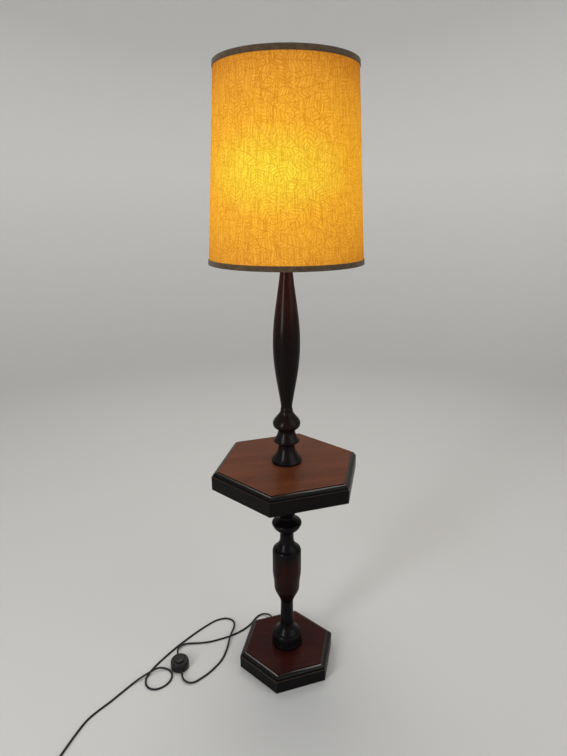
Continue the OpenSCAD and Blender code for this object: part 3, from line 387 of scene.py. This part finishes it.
def panel_wood(name, node, colours, gloss):
    """Veneered panel whose upright edge, below its top, is stained dark."""
    s = wood(name, colours, across=(ALONG, 1, 1), turn=PANEL_GRAIN_TURN, gloss=gloss, gloss_rough=0.12,
             rough=0.34)
    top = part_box(node)[1].z
    share = s.spread(s.axis("Z"), top - EDGE_DARK, top - EDGE_CLEAR)
    s.set(Base_Color=s.blend("MIX", share, NEAR_BLACK[0], s.fed("Base Color")))
    return s.mat


def rail_wood(name, turn):
    """Near-black moulding: dull sides, and a ledge and a top that hands have polished, their upward faces
    painted lighter as a painted highlight.
    """
    s = wood(name, NEAR_BLACK, across=(ALONG, 1, 1), turn=turn, figure=40)
    # Upward faces blend towards a lighter colour: a painted highlight on the ledge and the top of the round.
    wear_and_highlight = s.spread(s.upward(), HIGHLIGHT_FROM, 1.0, to_high=0.85)
    s.set(Base_Color=s.blend("MIX", wear_and_highlight, s.fed("Base Color"), PAINTED_HIGHLIGHT))
    s.set(Coat_Weight=s.spread(s.upward(), 0.55, POLISH_FULL, to_low=0.06, to_high=0.6))
    return s.mat


def column_wood(name, bands, gloss, rough):
    """Turned wood whose colour changes with height, stain with painted light and shade in it; bands are
    (height, colour).
    """
    s = wood(name, COLUMN_GRAIN, gloss=gloss, gloss_rough=0.14, rough=rough)
    low, high = bands[0][0], bands[-1][0]
    place = s.spread(s.axis("Z"), low, high)
    # The bands give the stain together with painted light and shade.
    stain_and_light = s.ramp(place, *[((z - low) / (high - low), colour) for z, colour in bands])
    s.set(Base_Color=s.blend("MULTIPLY", 1.0, stain_and_light, s.fed("Base Color")))
    return s.mat


# ---------------------------------------------------------------- metal, plastic and felt


def brass():
    s = Shader("brass", Metallic=1.0, Coat_Weight=0.2, Coat_Roughness=0.2)
    tarnish = s.noise(s.coord, 160, detail=4, rough=0.6)
    s.set(Base_Color=s.ramp(tarnish, (0.3, (0.50, 0.33, 0.12)), (0.6, (0.78, 0.55, 0.24))))
    s.set(Roughness=s.spread(tarnish, 0.3, 0.8, to_low=0.24, to_high=0.42))
    s.bump(s.noise(s.coord, 2400, detail=2), strength=0.05, distance=0.2 * MM)
    return s.mat


def metal(name, colour, rough):
    """Bare metal with fine scratches, duller and darker where it is worn."""
    s = Shader(name, Metallic=1.0)
    scratches = s.noise(s.mapped((1, 1, 0.1)), 900)
    wear_and_highlight = s.noise(s.coord, 60, detail=4)
    s.set(Base_Color=s.ramp(wear_and_highlight, (0.3, tuple(c * 0.7 for c in colour)), (0.65, colour)))
    s.set(Roughness=s.spread(scratches, 0.3, 0.7, rough - 0.06, rough + 0.1))
    s.bump(scratches, strength=0.06, distance=0.2 * MM)
    return s.mat


def plastic(name, colour, rough, grain=1500, relief=0.12):
    """Moulded plastic with a fine grain and a little dust."""
    s = Shader(name, Specular_IOR_Level=0.22)
    skin = s.noise(s.coord, grain)
    dust = s.noise(s.coord, 38, detail=5, rough=0.65)
    s.set(Base_Color=s.ramp(dust, (0.35, colour), (0.75, tuple(c * 1.5 + 0.004 for c in colour))))
    s.set(Roughness=s.spread(dust, 0.3, 0.75, rough - 0.04, rough + 0.14))
    s.bump(skin, strength=relief, distance=0.3 * MM)
    return s.mat


def cast_iron():
    s = Shader("cast_iron", Metallic=0.6, Roughness=0.72)
    rough = s.noise(s.coord, 420, detail=6, rough=0.7)
    s.set(Base_Color=s.ramp(rough, (0.3, (0.03, 0.03, 0.032)), (0.7, (0.10, 0.095, 0.09))))
    s.bump(rough, strength=0.6, distance=1 * MM)
    return s.mat


def felt_cloth():
    s = Shader("felt_cloth", Roughness=0.95, Specular_IOR_Level=0.1, Sheen_Weight=0.3)
    fibre = s.noise(s.coord, 900, detail=6, rough=0.8, distortion=1.5)
    s.set(Base_Color=s.ramp(fibre, (0.3, srgb(18, 24, 20)), (0.7, srgb(44, 54, 46))))
    s.bump(fibre, strength=0.7, distance=0.6 * MM)
    return s.mat


def lit_glass():
    s = Shader("lit_glass", Roughness=0.4, Emission_Strength=8.0)
    frost = s.noise(s.coord, 300)
    s.set(Base_Color=s.ramp(frost, (0.3, (0.9, 0.85, 0.75)), (0.7, (0.97, 0.94, 0.86))))
    s.set(Emission_Color=s.ramp(frost, (0.3, (1.0, 0.72, 0.34)), (0.7, (1.0, 0.78, 0.42))))
    s.bump(frost, strength=0.05, distance=0.2 * MM)
    return s.mat


# ---------------------------------------------------------------- cloth of the shade

SHADE_LOW, SHADE_HIGH = 1.099, 1.499
SHADE_BOTTOM_R, SHADE_TOP_R = 0.1745, 0.1505
SHADE_MEAN_R = (SHADE_BOTTOM_R + SHADE_TOP_R) / 2

GLOW_Z = 1.288
GLOW_REACH = 0.20              # above and below GLOW_Z
GLOW_SIDE = (-0.50, -0.87)     # the side that the lamp bulb lights most
GLOW_LOBE = (0.14, 1.0)        # share of the way to that side: dim up to the first, brightest at the second
GLOW_BEHIND = 0.30             # that the dim sides add to the squared distance from the brightest place
GLOW_MOST = 1.1                # distance at the end of the colours
HOT_TO, WARM_AT, COOL_AT = 0.08, 0.45 / GLOW_MOST, 0.85 / GLOW_MOST     # places among the colours

# Edge, cool, warm and hot.
CLOTH_GLOW = (srgb(172, 102, 8), srgb(222, 155, 36), srgb(248, 184, 38), srgb(255, 238, 56))
LINER_GLOW = (srgb(214, 150, 70), srgb(232, 176, 92), srgb(244, 204, 124), srgb(255, 230, 160))
GROUND_SHADE, GLOW_SHADE = (0.72, 0.68, 0.6), (0.74, 0.57, 0.32)       # between the raised threads


def shade_glow(s, edge, cool, warm, hot):
    """Colour of the lit cloth: hot beside the lamp bulb, and cool and dim towards both ends."""
    above = s.math("ABSOLUTE", s.math("SUBTRACT", s.axis("Z"), GLOW_Z))
    away = s.spread(above, 0.0, GLOW_REACH)
    toward = s.weighted(*[(s.axis(name), share / SHADE_MEAN_R) for name, share in zip("XY", GLOW_SIDE)])
    turned = s.spread(toward, *GLOW_LOBE, to_low=GLOW_BEHIND, to_high=0.0)
    distance = s.math("SQRT", s.math("ADD", s.math("MULTIPLY", away, away), turned))
    place = s.math("DIVIDE", distance, GLOW_MOST)
    return s.ramp(place, (0.0, hot), (HOT_TO, hot), (WARM_AT, warm), (COOL_AT, cool), (1.0, edge))


def weave(s):
    """Slubby cloth: upright threads of uneven thickness over finer level ones."""
    slub = s.noise(s.mapped((1, 1, 0.06)), 360, detail=4, rough=0.65, distortion=0.8)
    warp = s.noise(s.mapped((1, 1, 0.035)), 1250, rough=0.6)
    weft = s.noise(s.mapped((0.05, 0.05, 1)), 620, rough=0.6)
    return s.weighted((slub, 0.60), (warp, 0.18), (weft, 0.22))


def lit_cloth(name, ground, glow, strength, contrast=0.9):
    """Cloth with its own colour and the light that comes through it, darker between its raised threads."""
    s = Shader(name, Roughness=0.9, Specular_IOR_Level=0.08, Emission_Strength=strength)
    threads = weave(s)
    s.set(Base_Color=s.blend("MULTIPLY", s.spread(threads, 0.60, 0.40), ground, GROUND_SHADE))
    between = s.spread(threads, 0.58, 0.42, to_high=contrast)
    s.set(Emission_Color=s.blend("MULTIPLY", between, shade_glow(s, *glow), GLOW_SHADE))
    s.bump(threads, strength=0.4, distance=0.6 * MM)
    return s.mat


def ribbed_tape():
    s = Shader("trim_tape", Roughness=0.85, Specular_IOR_Level=0.2, Sheen_Weight=0.2)
    ribs = s.noise(s.mapped((1, 1, 0.02)), 1500, detail=2)
    wear = s.noise(s.coord, 90, detail=4, rough=0.6)
    colour = s.ramp(wear, (0.3, srgb(62, 48, 32)), (0.7, srgb(88, 70, 48)))
    s.set(Base_Color=s.blend("MULTIPLY", s.spread(ribs, 0.6, 0.4, to_high=0.5), colour, (0.6, 0.56, 0.5)))
    s.bump(ribs, strength=0.5, distance=0.5 * MM)
    return s.mat


# ---------------------------------------------------------------- shade

TRIM_T, TRIM_H = 2.2 * MM, 11.5 * MM
CLOTH_T = 1.2 * MM
RIM = 1.0 * MM                 # from the cloth's edge to the tape's fold
SHELL_ROWS = 44
SHADE_SIDES = 256
SHELL_WOBBLE, TAPE_WOBBLE = 0.18 * MM, 0.12 * MM
WOBBLE_ROUND, WOBBLE_UP = 2, 9                 # how fine the unevenness is, round the shade and up it
SEAM_AT = 246.5                # degrees round the shade
SEAM_HALF, SEAM_T = 0.9 * MM, 0.35 * MM
SEAM_ROWS = 40
SEAM_SECTION = ((-1, -0.1), (-0.6, 1), (0.6, 1), (1, -0.1))            # shares of SEAM_HALF and SEAM_T
TAPE_IN_H, TAPE_IN_T = 7 * MM, 0.9 * MM         # the tape's flap inside the shade
LIFT = 0.05 * MM               # of what is glued on, off the cloth


def cloth_r(z):
    """Outside radius of the cloth at height z."""
    share = (z - SHADE_LOW) / (SHADE_HIGH - SHADE_LOW)
    return SHADE_BOTTOM_R - TRIM_T + (SHADE_TOP_R - SHADE_BOTTOM_R) * share


def revolve(profile, wobble):
    """Closed ring of a closed profile [(radius, height)], with a slight unevenness."""
    points, faces = [], []
    n = len(profile)
    for k in range(SHADE_SIDES):
        a = 2 * math.pi * k / SHADE_SIDES
        for r, z in profile:
            place = (math.cos(a) * WOBBLE_ROUND, math.sin(a) * WOBBLE_ROUND, z * WOBBLE_UP)
            uneven = wobble * noise.noise(Vector(place))
            points.append(((r + uneven) * math.cos(a), (r + uneven) * math.sin(a), z))
    for k in range(SHADE_SIDES):
        this, following = k * n, ((k + 1) % SHADE_SIDES) * n
        for j in range(n):
            up = (j + 1) % n
            faces.append((following + j, following + up, this + up, this + j))
    return points, faces


def make_shade(cloth, liner, threads, tape):
    low, high = SHADE_LOW + RIM, SHADE_HIGH - RIM
    heights = [low + (high - low) * k / SHELL_ROWS for k in range(SHELL_ROWS + 1)]
    outside = [(cloth_r(z), z) for z in heights]
    inside = [(cloth_r(z) - CLOTH_T, z) for z in reversed(heights)]
    points, faces = revolve(outside + inside, SHELL_WOBBLE)
    round_once = len(outside + inside)
    indices = [0 if f % round_once <= SHELL_ROWS else 1 for f in range(len(faces))]
    shell = new_piece("shade_shell", points, faces, [cloth, liner], "shade",
                      ["shade_fabric"], indices)
    parts = [
        make_leaves(threads),
        make_seam(cloth),
        make_tape("tape_top", "top_trim", SHADE_HIGH, -1, tape),
        make_tape("tape_bottom", "bottom_trim", SHADE_LOW, 1, tape),
    ]


def make_seam(cloth):
    """The cloth's glued overlap, a narrow upright strip."""
    points = []
    low, high = SHADE_LOW + TRIM_H, SHADE_HIGH - TRIM_H
    for k in range(SEAM_ROWS + 1):
        z = low + (high - low) * k / SEAM_ROWS
        for side, lift in SEAM_SECTION:
            r = cloth_r(z) + lift * SEAM_T
            a = math.radians(SEAM_AT) + side * SEAM_HALF / r
            points.append((r * math.cos(a), r * math.sin(a), z))
    faces = strip_faces(SEAM_ROWS + 1, len(SEAM_SECTION))
    return new_piece("shade_seam", points, faces, [cloth], "shade")


def make_tape(name, node, edge, way, tape):
    """Ribbed tape folded over an edge of the shell, a little fuller than a sharp fold."""
    t, inside = TRIM_T, CLOTH_T + TAPE_IN_T
    # Depth where the cloth's radius is taken, depth of the point, and its distance off the cloth.
    section = [
        (TAPE_IN_H, TAPE_IN_H, -inside),
        (0, 1.2 * MM, -inside - 0.1 * MM),
        (0, 0.1 * MM, -inside * 0.7),
        (0, 0, t * 0.35),
        (0, 0.5 * MM, t * 0.85),
        (0, 1.6 * MM, t),
        (5 * MM, 5 * MM, t * 0.88),
        (TRIM_H, TRIM_H - 2.5 * MM, t * 0.9),
        (TRIM_H, TRIM_H - 0.7 * MM, t * 0.8),
        (TRIM_H, TRIM_H, t * 0.45),
        (TRIM_H, TRIM_H - 0.1 * MM, LIFT),
        (0, RIM * 0.9, LIFT),
        (0, RIM * 0.9, -CLOTH_T),
        (TAPE_IN_H, TAPE_IN_H, -CLOTH_T - LIFT),
    ]
    outline = [(cloth_r(edge + way * at) + out, edge + way * depth) for at, depth, out in section]
    if way < 0:
        outline.reverse()
    points, faces = revolve(outline, TAPE_WOBBLE)
    return new_piece(name, points, faces, [tape], "shade", [node])


# ---------------------------------------------------------------- pattern of leaves on the cloth

LEAF_SEED = 23
LEAF_TRIES = 16000
LEAF_SPACING = 0.0235
LEAF_MARGIN = 0.02             # that a leaf's middle may lie beyond the cloth's edge
LEAF_LENGTH = (0.044, 0.062)
LEAF_WIDTH = (0.56, 0.76)      # shares of the length
LEAF_BEND = 0.10               # the most, share of the length
LEAF_REACH = 0.065             # leaves whose middles lie farther apart than this don't overlap
OUTLINE_STEPS, MIDRIB_STEPS, VEIN_STEPS = 20, 12, 5
LINE_W, LINE_UP = 1.3 * MM, 0.30 * MM
LINE_WEIGHT = (0.75, 1.15)     # of all lines of a leaf
VEINS = 6                      # on each side
VEIN_FROM, VEIN_SPAN = 0.08, 0.74               # along the midrib, shares of the length
VEIN_LEAN = (0.13, 0.18)       # how much farther along the leaf a vein ends than it starts
VEIN_SWEEP = 1.15              # power that bends it towards the tip of the leaf
VEIN_LAST = 0.97               # share of the length beyond which no vein takes its width
VEIN_STARTS = (0.0, 0.0, 0.25)                  # shares of the way out from the midrib
VEIN_WEIGHT, VEIN_REACH = (0.55, 1.1), (0.70, 1.0)      # shares of a line's width, and of the leaf's
PAD_W, PAD_UP = 2.0 * MM, 0.42 * MM
PAD_CHANCE = 0.8
PAD_START = 0.2
PAD_WEIGHT, PAD_REACH = (0.6, 1.1), (0.60, 0.86)
TAPE_LAP = 1 * MM              # that the pattern runs under the tape
DARK, LIGHT = 0, 1             # the two threads of the pattern

Leaf = namedtuple("Leaf", "u v cos sin length half")    # middle, heading, length and half-width


def leaf_half_width(t, half):
    """Half-width of a leaf at share t of its length, widest before its middle and drawn out to a tip."""
    if not 0 < t < 1:
        return 0.0
    return half * math.sin(math.pi * t ** 0.82) ** 0.8 * (1 - 0.25 * t ** 4)


def short_way(distance, around):
    """A distance along the cloth, taken the short way round."""
    return (distance + around / 2) % around - around / 2


def place_leaves(rng, around, height):
    """Leaves all over the cloth, later ones on top."""
    leaves = []
    for _ in range(LEAF_TRIES):
        u, v = rng.uniform(0, around), rng.uniform(-LEAF_MARGIN, height + LEAF_MARGIN)
        near = (math.hypot(short_way(u - leaf.u, around), v - leaf.v) for leaf in leaves)
        if min(near, default=1) >= LEAF_SPACING:
            length = rng.uniform(*LEAF_LENGTH)
            heading = rng.uniform(0, 2 * math.pi)
            half = length * rng.uniform(*LEAF_WIDTH) / 2
            leaves.append(Leaf(u, v, math.cos(heading), math.sin(heading), length, half))
    rng.shuffle(leaves)
    return leaves


def leaf_lines(leaf, rng):
    """Lines of one leaf as (thread, width, points): outline, midrib, veins, and light pads between."""
    length, half = leaf.length, leaf.half
    bend = rng.uniform(-LEAF_BEND, LEAF_BEND) * length
    width = LINE_W * rng.uniform(*LINE_WEIGHT)

    def at(t, y):
        return length * (t - 0.5), y + bend * math.sin(math.pi * t)

    def vein(place, side, start, reach):
        t = VEIN_FROM + VEIN_SPAN / VEINS * place
        tip = t + rng.uniform(*VEIN_LEAN)
        full = leaf_half_width(min(VEIN_LAST, tip), half) * reach
        shares = [start + (1 - start) * q / VEIN_STEPS for q in range(VEIN_STEPS + 1)]
        return [at(t + (tip - t) * q ** VEIN_SWEEP, side * full * q) for q in shares]

    shares = [k / OUTLINE_STEPS for k in range(OUTLINE_STEPS + 1)]
    lines = [(DARK, width, [at(t, side * leaf_half_width(t, half)) for t in shares]) for side in (-1, 1)]
    lines.append((DARK, width, [at(k / MIDRIB_STEPS, 0) for k in range(-1, MIDRIB_STEPS + 1)]))
    for k in range(VEINS):
        for side in (-1, 1):
            start = rng.choice(VEIN_STARTS)
            thickness = width * rng.uniform(*VEIN_WEIGHT)
            lines.append((DARK, thickness, vein(k, side, start, rng.uniform(*VEIN_REACH))))
            if rng.random() < PAD_CHANCE:
                thickness = PAD_W * rng.uniform(*PAD_WEIGHT)
                lines.append((LIGHT, thickness, vein(k + 0.5, side, PAD_START, rng.uniform(*PAD_REACH))))
    return lines


def covers(leaf, u, v, around):
    """Whether the leaf lies over the place (u, v) of the cloth."""
    du, dv = short_way(u - leaf.u, around), v - leaf.v
    x, y = (du * leaf.cos + dv * leaf.sin) / leaf.length + 0.5, dv * leaf.cos - du * leaf.sin
    return abs(y) < leaf_half_width(x, leaf.half)


def seen_runs(line, above, around, height):
    """Stretches of two or more successive points that lie on the cloth and under no leaf above."""
    def seen(point):
        u, v = point
        return 0 <= v <= height and not any(covers(leaf, u, v, around) for leaf in above)

    runs = [list(run) for shown, run in itertools.groupby(line, seen) if shown]
    return [run for run in runs if len(run) > 1]


class Relief:
    """Low ridges on the cloth between two heights, gathered for one mesh."""

    def __init__(self, low, height):
        self.low, self.height = low, height
        self.points, self.faces, self.threads = [], [], []

    def ridge(self, line, thickness, thread):
        """A ridge along the line of (u, v) points, drawn out to nothing at its sides."""
        start = len(self.points)
        rise = PAD_UP if thread == LIGHT else LINE_UP
        for k, (u, v) in enumerate(line):
            (u0, v0), (u1, v1) = neighbours(line, k)
            d = math.hypot(u1 - u0, v1 - v0) or 1
            side_u, side_v = -(v1 - v0) / d, (u1 - u0) / d
            for across in (-0.5, 0.0, 0.5):
                up = min(max(v + side_v * across * thickness, 0), self.height)
                a = (u + side_u * across * thickness) / SHADE_MEAN_R
                z = self.low + up
                r = cloth_r(z) + LIFT + (rise if across == 0 else 0)
                self.points.append((r * math.cos(a), r * math.sin(a), z))
        faces = strip_faces(len(line), 3, start)
        self.faces += faces
        self.threads += [thread] * len(faces)


def make_leaves(mats):
    """Raised threads that draw overlapping leaves all over the cloth."""
    rng = random.Random(LEAF_SEED)
    around = 2 * math.pi * SHADE_MEAN_R
    low, high = SHADE_LOW + TRIM_H - TAPE_LAP, SHADE_HIGH - TRIM_H + TAPE_LAP
    leaves = place_leaves(rng, around, high - low)
    relief = Relief(low, high - low)
    for place, leaf in enumerate(leaves):
        above = [other for other in leaves[place + 1:] if abs(other.v - leaf.v) < LEAF_REACH
                 and abs(short_way(other.u - leaf.u, around)) < LEAF_REACH]
        for thread, thickness, line in leaf_lines(leaf, rng):
            on_cloth = [(leaf.u + x * leaf.cos - y * leaf.sin, leaf.v + x * leaf.sin + y * leaf.cos)
                        for x, y in line]
            for run in seen_runs(on_cloth, above, around, high - low):
                relief.ridge(run, thickness, thread)
    return new_piece("shade_leaves", relief.points, relief.faces, mats, "shade",
                     indices=relief.threads)


# ---------------------------------------------------------------- felt

FELT_PER_SIDE = 24
FELT_RINGS = [(0.985, 0.0), (0.998, 0.35), (1.0, 0.55), (0.997, 0.85), (0.985, 1.0)]     # shares of its size
FUZZ = 0.002                   # share of the size
FUZZ_FINE, FUZZ_UP = 300, 3    # how fine it is, across and from ring to ring


def make_felt(mat):
    """Felt pad with a soft edge, in the space of its CAD solid."""
    low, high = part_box("base_felt")
    thick = high.z - low.z
    corner_r = (high.y - low.y) / 2 / math.cos(math.pi / 6)
    turns = [math.radians(60 * k) for k in range(7)]
    corners = [Vector((corner_r * math.cos(a), corner_r * math.sin(a))) for a in turns]
    shares = [j / FELT_PER_SIDE for j in range(FELT_PER_SIDE)]
    outline = [a.lerp(b, share) for a, b in zip(corners, corners[1:]) for share in shares]
    points = []
    for inset, up in FELT_RINGS:
        for p in outline:
            place = Vector((p.x * FUZZ_FINE, p.y * FUZZ_FINE, up * FUZZ_UP))
            fuzz = 1 - FUZZ * abs(noise.noise(place))
            points.append((p.x * inset * fuzz, p.y * inset * fuzz, thick * up))
    n = len(outline)
    faces = strip_faces(len(FELT_RINGS), n, closed=True)
    faces.append(tuple(reversed(range(n))))
    faces.append(tuple(range(len(points) - n, len(points))))
    new_piece("felt_pad", points, faces, [mat], "lamp", ["base_felt"])


# ---------------------------------------------------------------- dressing the CAD nodes

EDGE_ANGLE = 38                # degrees; sharper edges are rounded
HOUSING_EDGE_ANGLE = 24
WELD = 0.01 * MM
BEVEL_SEGMENTS = 2


def dress(names, mat, bevel=0.4 * MM, angle=EDGE_ANGLE):
    """Gives CAD nodes their material, welded and smooth surfaces and slightly rounded edges."""
    for name in names:
        obj = NODES[name]
        mesh = obj.data
        mesh.materials.clear()
        mesh.materials.append(mat)
        if "custom_normal" in mesh.attributes:
            mesh.attributes.remove(mesh.attributes["custom_normal"])
        mesh.polygons.foreach_set("use_smooth", [True] * len(mesh.polygons))
        weld = obj.modifiers.new("weld", "WELD")
        weld.merge_threshold = WELD
        if bevel:
            rounded = obj.modifiers.new("rounded", "BEVEL")
            rounded.width = bevel
            rounded.segments = BEVEL_SEGMENTS
            rounded.limit_method = "ANGLE"
            rounded.angle_limit = math.radians(angle)
            rounded.miter_outer = "MITER_ARC"
            normals = obj.modifiers.new("normals", "WEIGHTED_NORMAL")
            normals.keep_sharp = True
        else:
            split = obj.modifiers.new("split", "EDGE_SPLIT")
            split.split_angle = math.radians(angle)


def dress_wood():
    dress(["table_panel"], panel_wood("table_top_wood", "table_panel", TABLE_RED, 0.20))
    dress(["base_panel"], panel_wood("base_top_wood", "base_panel", BASE_RED, 0.12))
    for k in range(3):         # opposite rails run the same way
        names = [f"{part}_rail_{rail}" for part in ("table", "base") for rail in (k + 1, k + 4)]
        dress(names, rail_wood(f"rail_wood_{k}", 60 - 60 * k), 0.5 * MM)
    dress(["lower_column"], column_wood("lower_column_wood", LOWER_STAIN_AND_PAINTED_LIGHT, 0.08, 0.36), 0)
    dress(["upper_column"], column_wood("upper_column_wood", UPPER_STAIN_AND_PAINTED_LIGHT, 0.10, 0.34), 0)


def dress_metal():
    dress(["base_weight"], cast_iron(), 0.6 * MM)
    brass_mat = brass()
    dress(["pipe_nut", "column_cap", "neck_spacer", "harp_saddle", "harp_stud", "ferrule_left",
           "ferrule_right", "finial", "socket_cap", "socket_shell"], brass_mat, 0.15 * MM)
    dress(["harp_wire"], brass_mat, 0)
    dress(["screw_shell"], metal("thin_brass", (0.80, 0.66, 0.36), 0.3), 0)
    dress(["plug_blades"], metal("blade_brass", (0.78, 0.62, 0.34), 0.28), 0.15 * MM)
    dress(["lamp_pipe", "pipe_washer", "switch_screws", "switch_spring"],
          metal("zinc_steel", (0.62, 0.62, 0.60), 0.35), 0)
    dress(["shade_spider", "shade_top_ring", "shade_bottom_ring"],
          metal("frame_wire", (0.72, 0.62, 0.44), 0.34), 0)
    dress(["bulb_base"], metal("lamp_base", (0.78, 0.78, 0.76), 0.25), 0)


def dress_plastic(cord_skin):
    dress(["socket_liner"], plastic("fibre", srgb(104, 82, 58), 0.8, 700, 0.3), 0)
    dress(["socket_core"], plastic("porcelain_dark", srgb(46, 40, 38), 0.5), 0.2 * MM)
    dress(["inner_cord"], cord_skin, 0)
    dress(["strain_relief", "switch_boots"], plastic("soft_black", srgb(24, 23, 23), 0.6), 0.2 * MM)
    dress(["coil_tie"], plastic("tie_black", srgb(20, 20, 21), 0.8, 900, 0.5), 0.2 * MM)
    dress(["plug_body"], plastic("plug_black", srgb(24, 23, 23), 0.5), 0.8 * MM, HOUSING_EDGE_ANGLE)
    dress(["switch_lower", "switch_upper"], plastic("switch_brown", srgb(18, 15, 15), 0.34), 0.5 * MM,
          HOUSING_EDGE_ANGLE)
    dress(["switch_button"], plastic("button_dark", srgb(28, 25, 25), 0.3), 0.3 * MM)


# ---------------------------------------------------------------- room and light

ROOM_R = 4.6                   # from the lamp's axis to the wall
BEND_R, BEND_STEPS = 1.6, 12   # where the floor bends up
WALL_TOP = 6.0
ROOM_SIDES = 72
FLOOR, WALL = (0.52, 0.51, 0.495), (0.80, 0.79, 0.77)
WALL_FROM = 1.5                # height above which the backdrop has the wall's colour
WORLD_COLOUR, WORLD_STRENGTH = (0.93, 0.96, 1.0), 0.32


def backdrop():
    """Matt and plain, a shade paler on the wall than on the floor."""
    s = Shader("backdrop", Roughness=0.95, Specular_IOR_Level=0.0)
    s.set(Base_Color=s.ramp(s.spread(s.axis("Z"), 0.0, WALL_FROM), (0.0, FLOOR), (1.0, WALL)))
    return s.mat


def make_room():
    """Pale floor that bends up into a pale wall, all round the lamp."""
    start = ROOM_R - BEND_R
    turns = [math.radians(90 * k / BEND_STEPS) for k in range(1, BEND_STEPS + 1)]
    bend = [(start + BEND_R * math.sin(t), BEND_R - BEND_R * math.cos(t)) for t in turns]
    profile = [(start, 0.0), *bend, (ROOM_R, WALL_TOP)]
    n = len(profile)
    points, faces = [(0, 0, 0)], []
    for k in range(ROOM_SIDES):
        angle = 2 * math.pi * k / ROOM_SIDES
        points += [(r * math.cos(angle), r * math.sin(angle), z) for r, z in profile]
        a, b = 1 + k * n, 1 + (k + 1) % ROOM_SIDES * n
        faces.append((0, a, b))
        faces += [(a + j, a + j + 1, b + j + 1, b + j) for j in range(n - 1)]
    smooth_mesh("room", points, faces, [backdrop()])


def area_light(name, at, target, size, power, colour):
    data = bpy.data.lights.new(name, "AREA")
    data.shape = "RECTANGLE"
    data.size, data.size_y = size
    data.energy = power
    data.color = colour
    light = add(name, data)
    light.location = at
    light.rotation_euler = (Vector(target) - Vector(at)).to_track_quat("-Z", "Y").to_euler()


def make_light():
    world = bpy.data.worlds.new("world")
    bpy.context.scene.world = world
    world.use_nodes = True
    background = world.node_tree.nodes["Background"]
    background.inputs["Color"].default_value = rgba(WORLD_COLOUR)
    background.inputs["Strength"].default_value = WORLD_STRENGTH
    area_light("key", (-2.5, -1.5, 1.7), (0, 0, 0.8), (0.7, 2.2), 58, (0.92, 0.96, 1.0))
    area_light("fill", (2.2, -2.4, 2.4), (0, 0, 0.7), (3.0, 3.0), 42, (0.96, 0.98, 1.0))
    area_light("top", (0.3, 1.3, 3.9), (0, 0, 0.6), (2.6, 2.6), 76, (1.0, 0.98, 0.94))
    bpy.context.scene.view_settings.view_transform = "Standard"


# ---------------------------------------------------------------- the lamp


def main():
    make_camera()
    cord_skin = plastic("cord_skin", srgb(19, 17, 17), 0.45, 2200, 0.05)
    make_cords(cord_skin)
    dress_wood()
    dress_metal()
    dress_plastic(cord_skin)
    dress(["bulb_glass"], lit_glass(), 0)

    cloth = lit_cloth("shade_cloth", srgb(150, 104, 40), CLOTH_GLOW, 0.80)
    liner = lit_cloth("shade_liner", srgb(190, 160, 108), LINER_GLOW, 0.6)
    dark = lit_cloth("leaf_threads", srgb(134, 88, 28), scaled(CLOTH_GLOW, 0.84, 0.73, 0.55), 0.77, 0.6)
    light = lit_cloth("leaf_pads", srgb(160, 114, 48), scaled(CLOTH_GLOW, 1.03, 1.05, 1.15), 0.80, 0.6)
    make_shade(cloth, liner, (dark, light), ribbed_tape())
    make_felt(felt_cloth())
    make_room()
    make_light()


main()
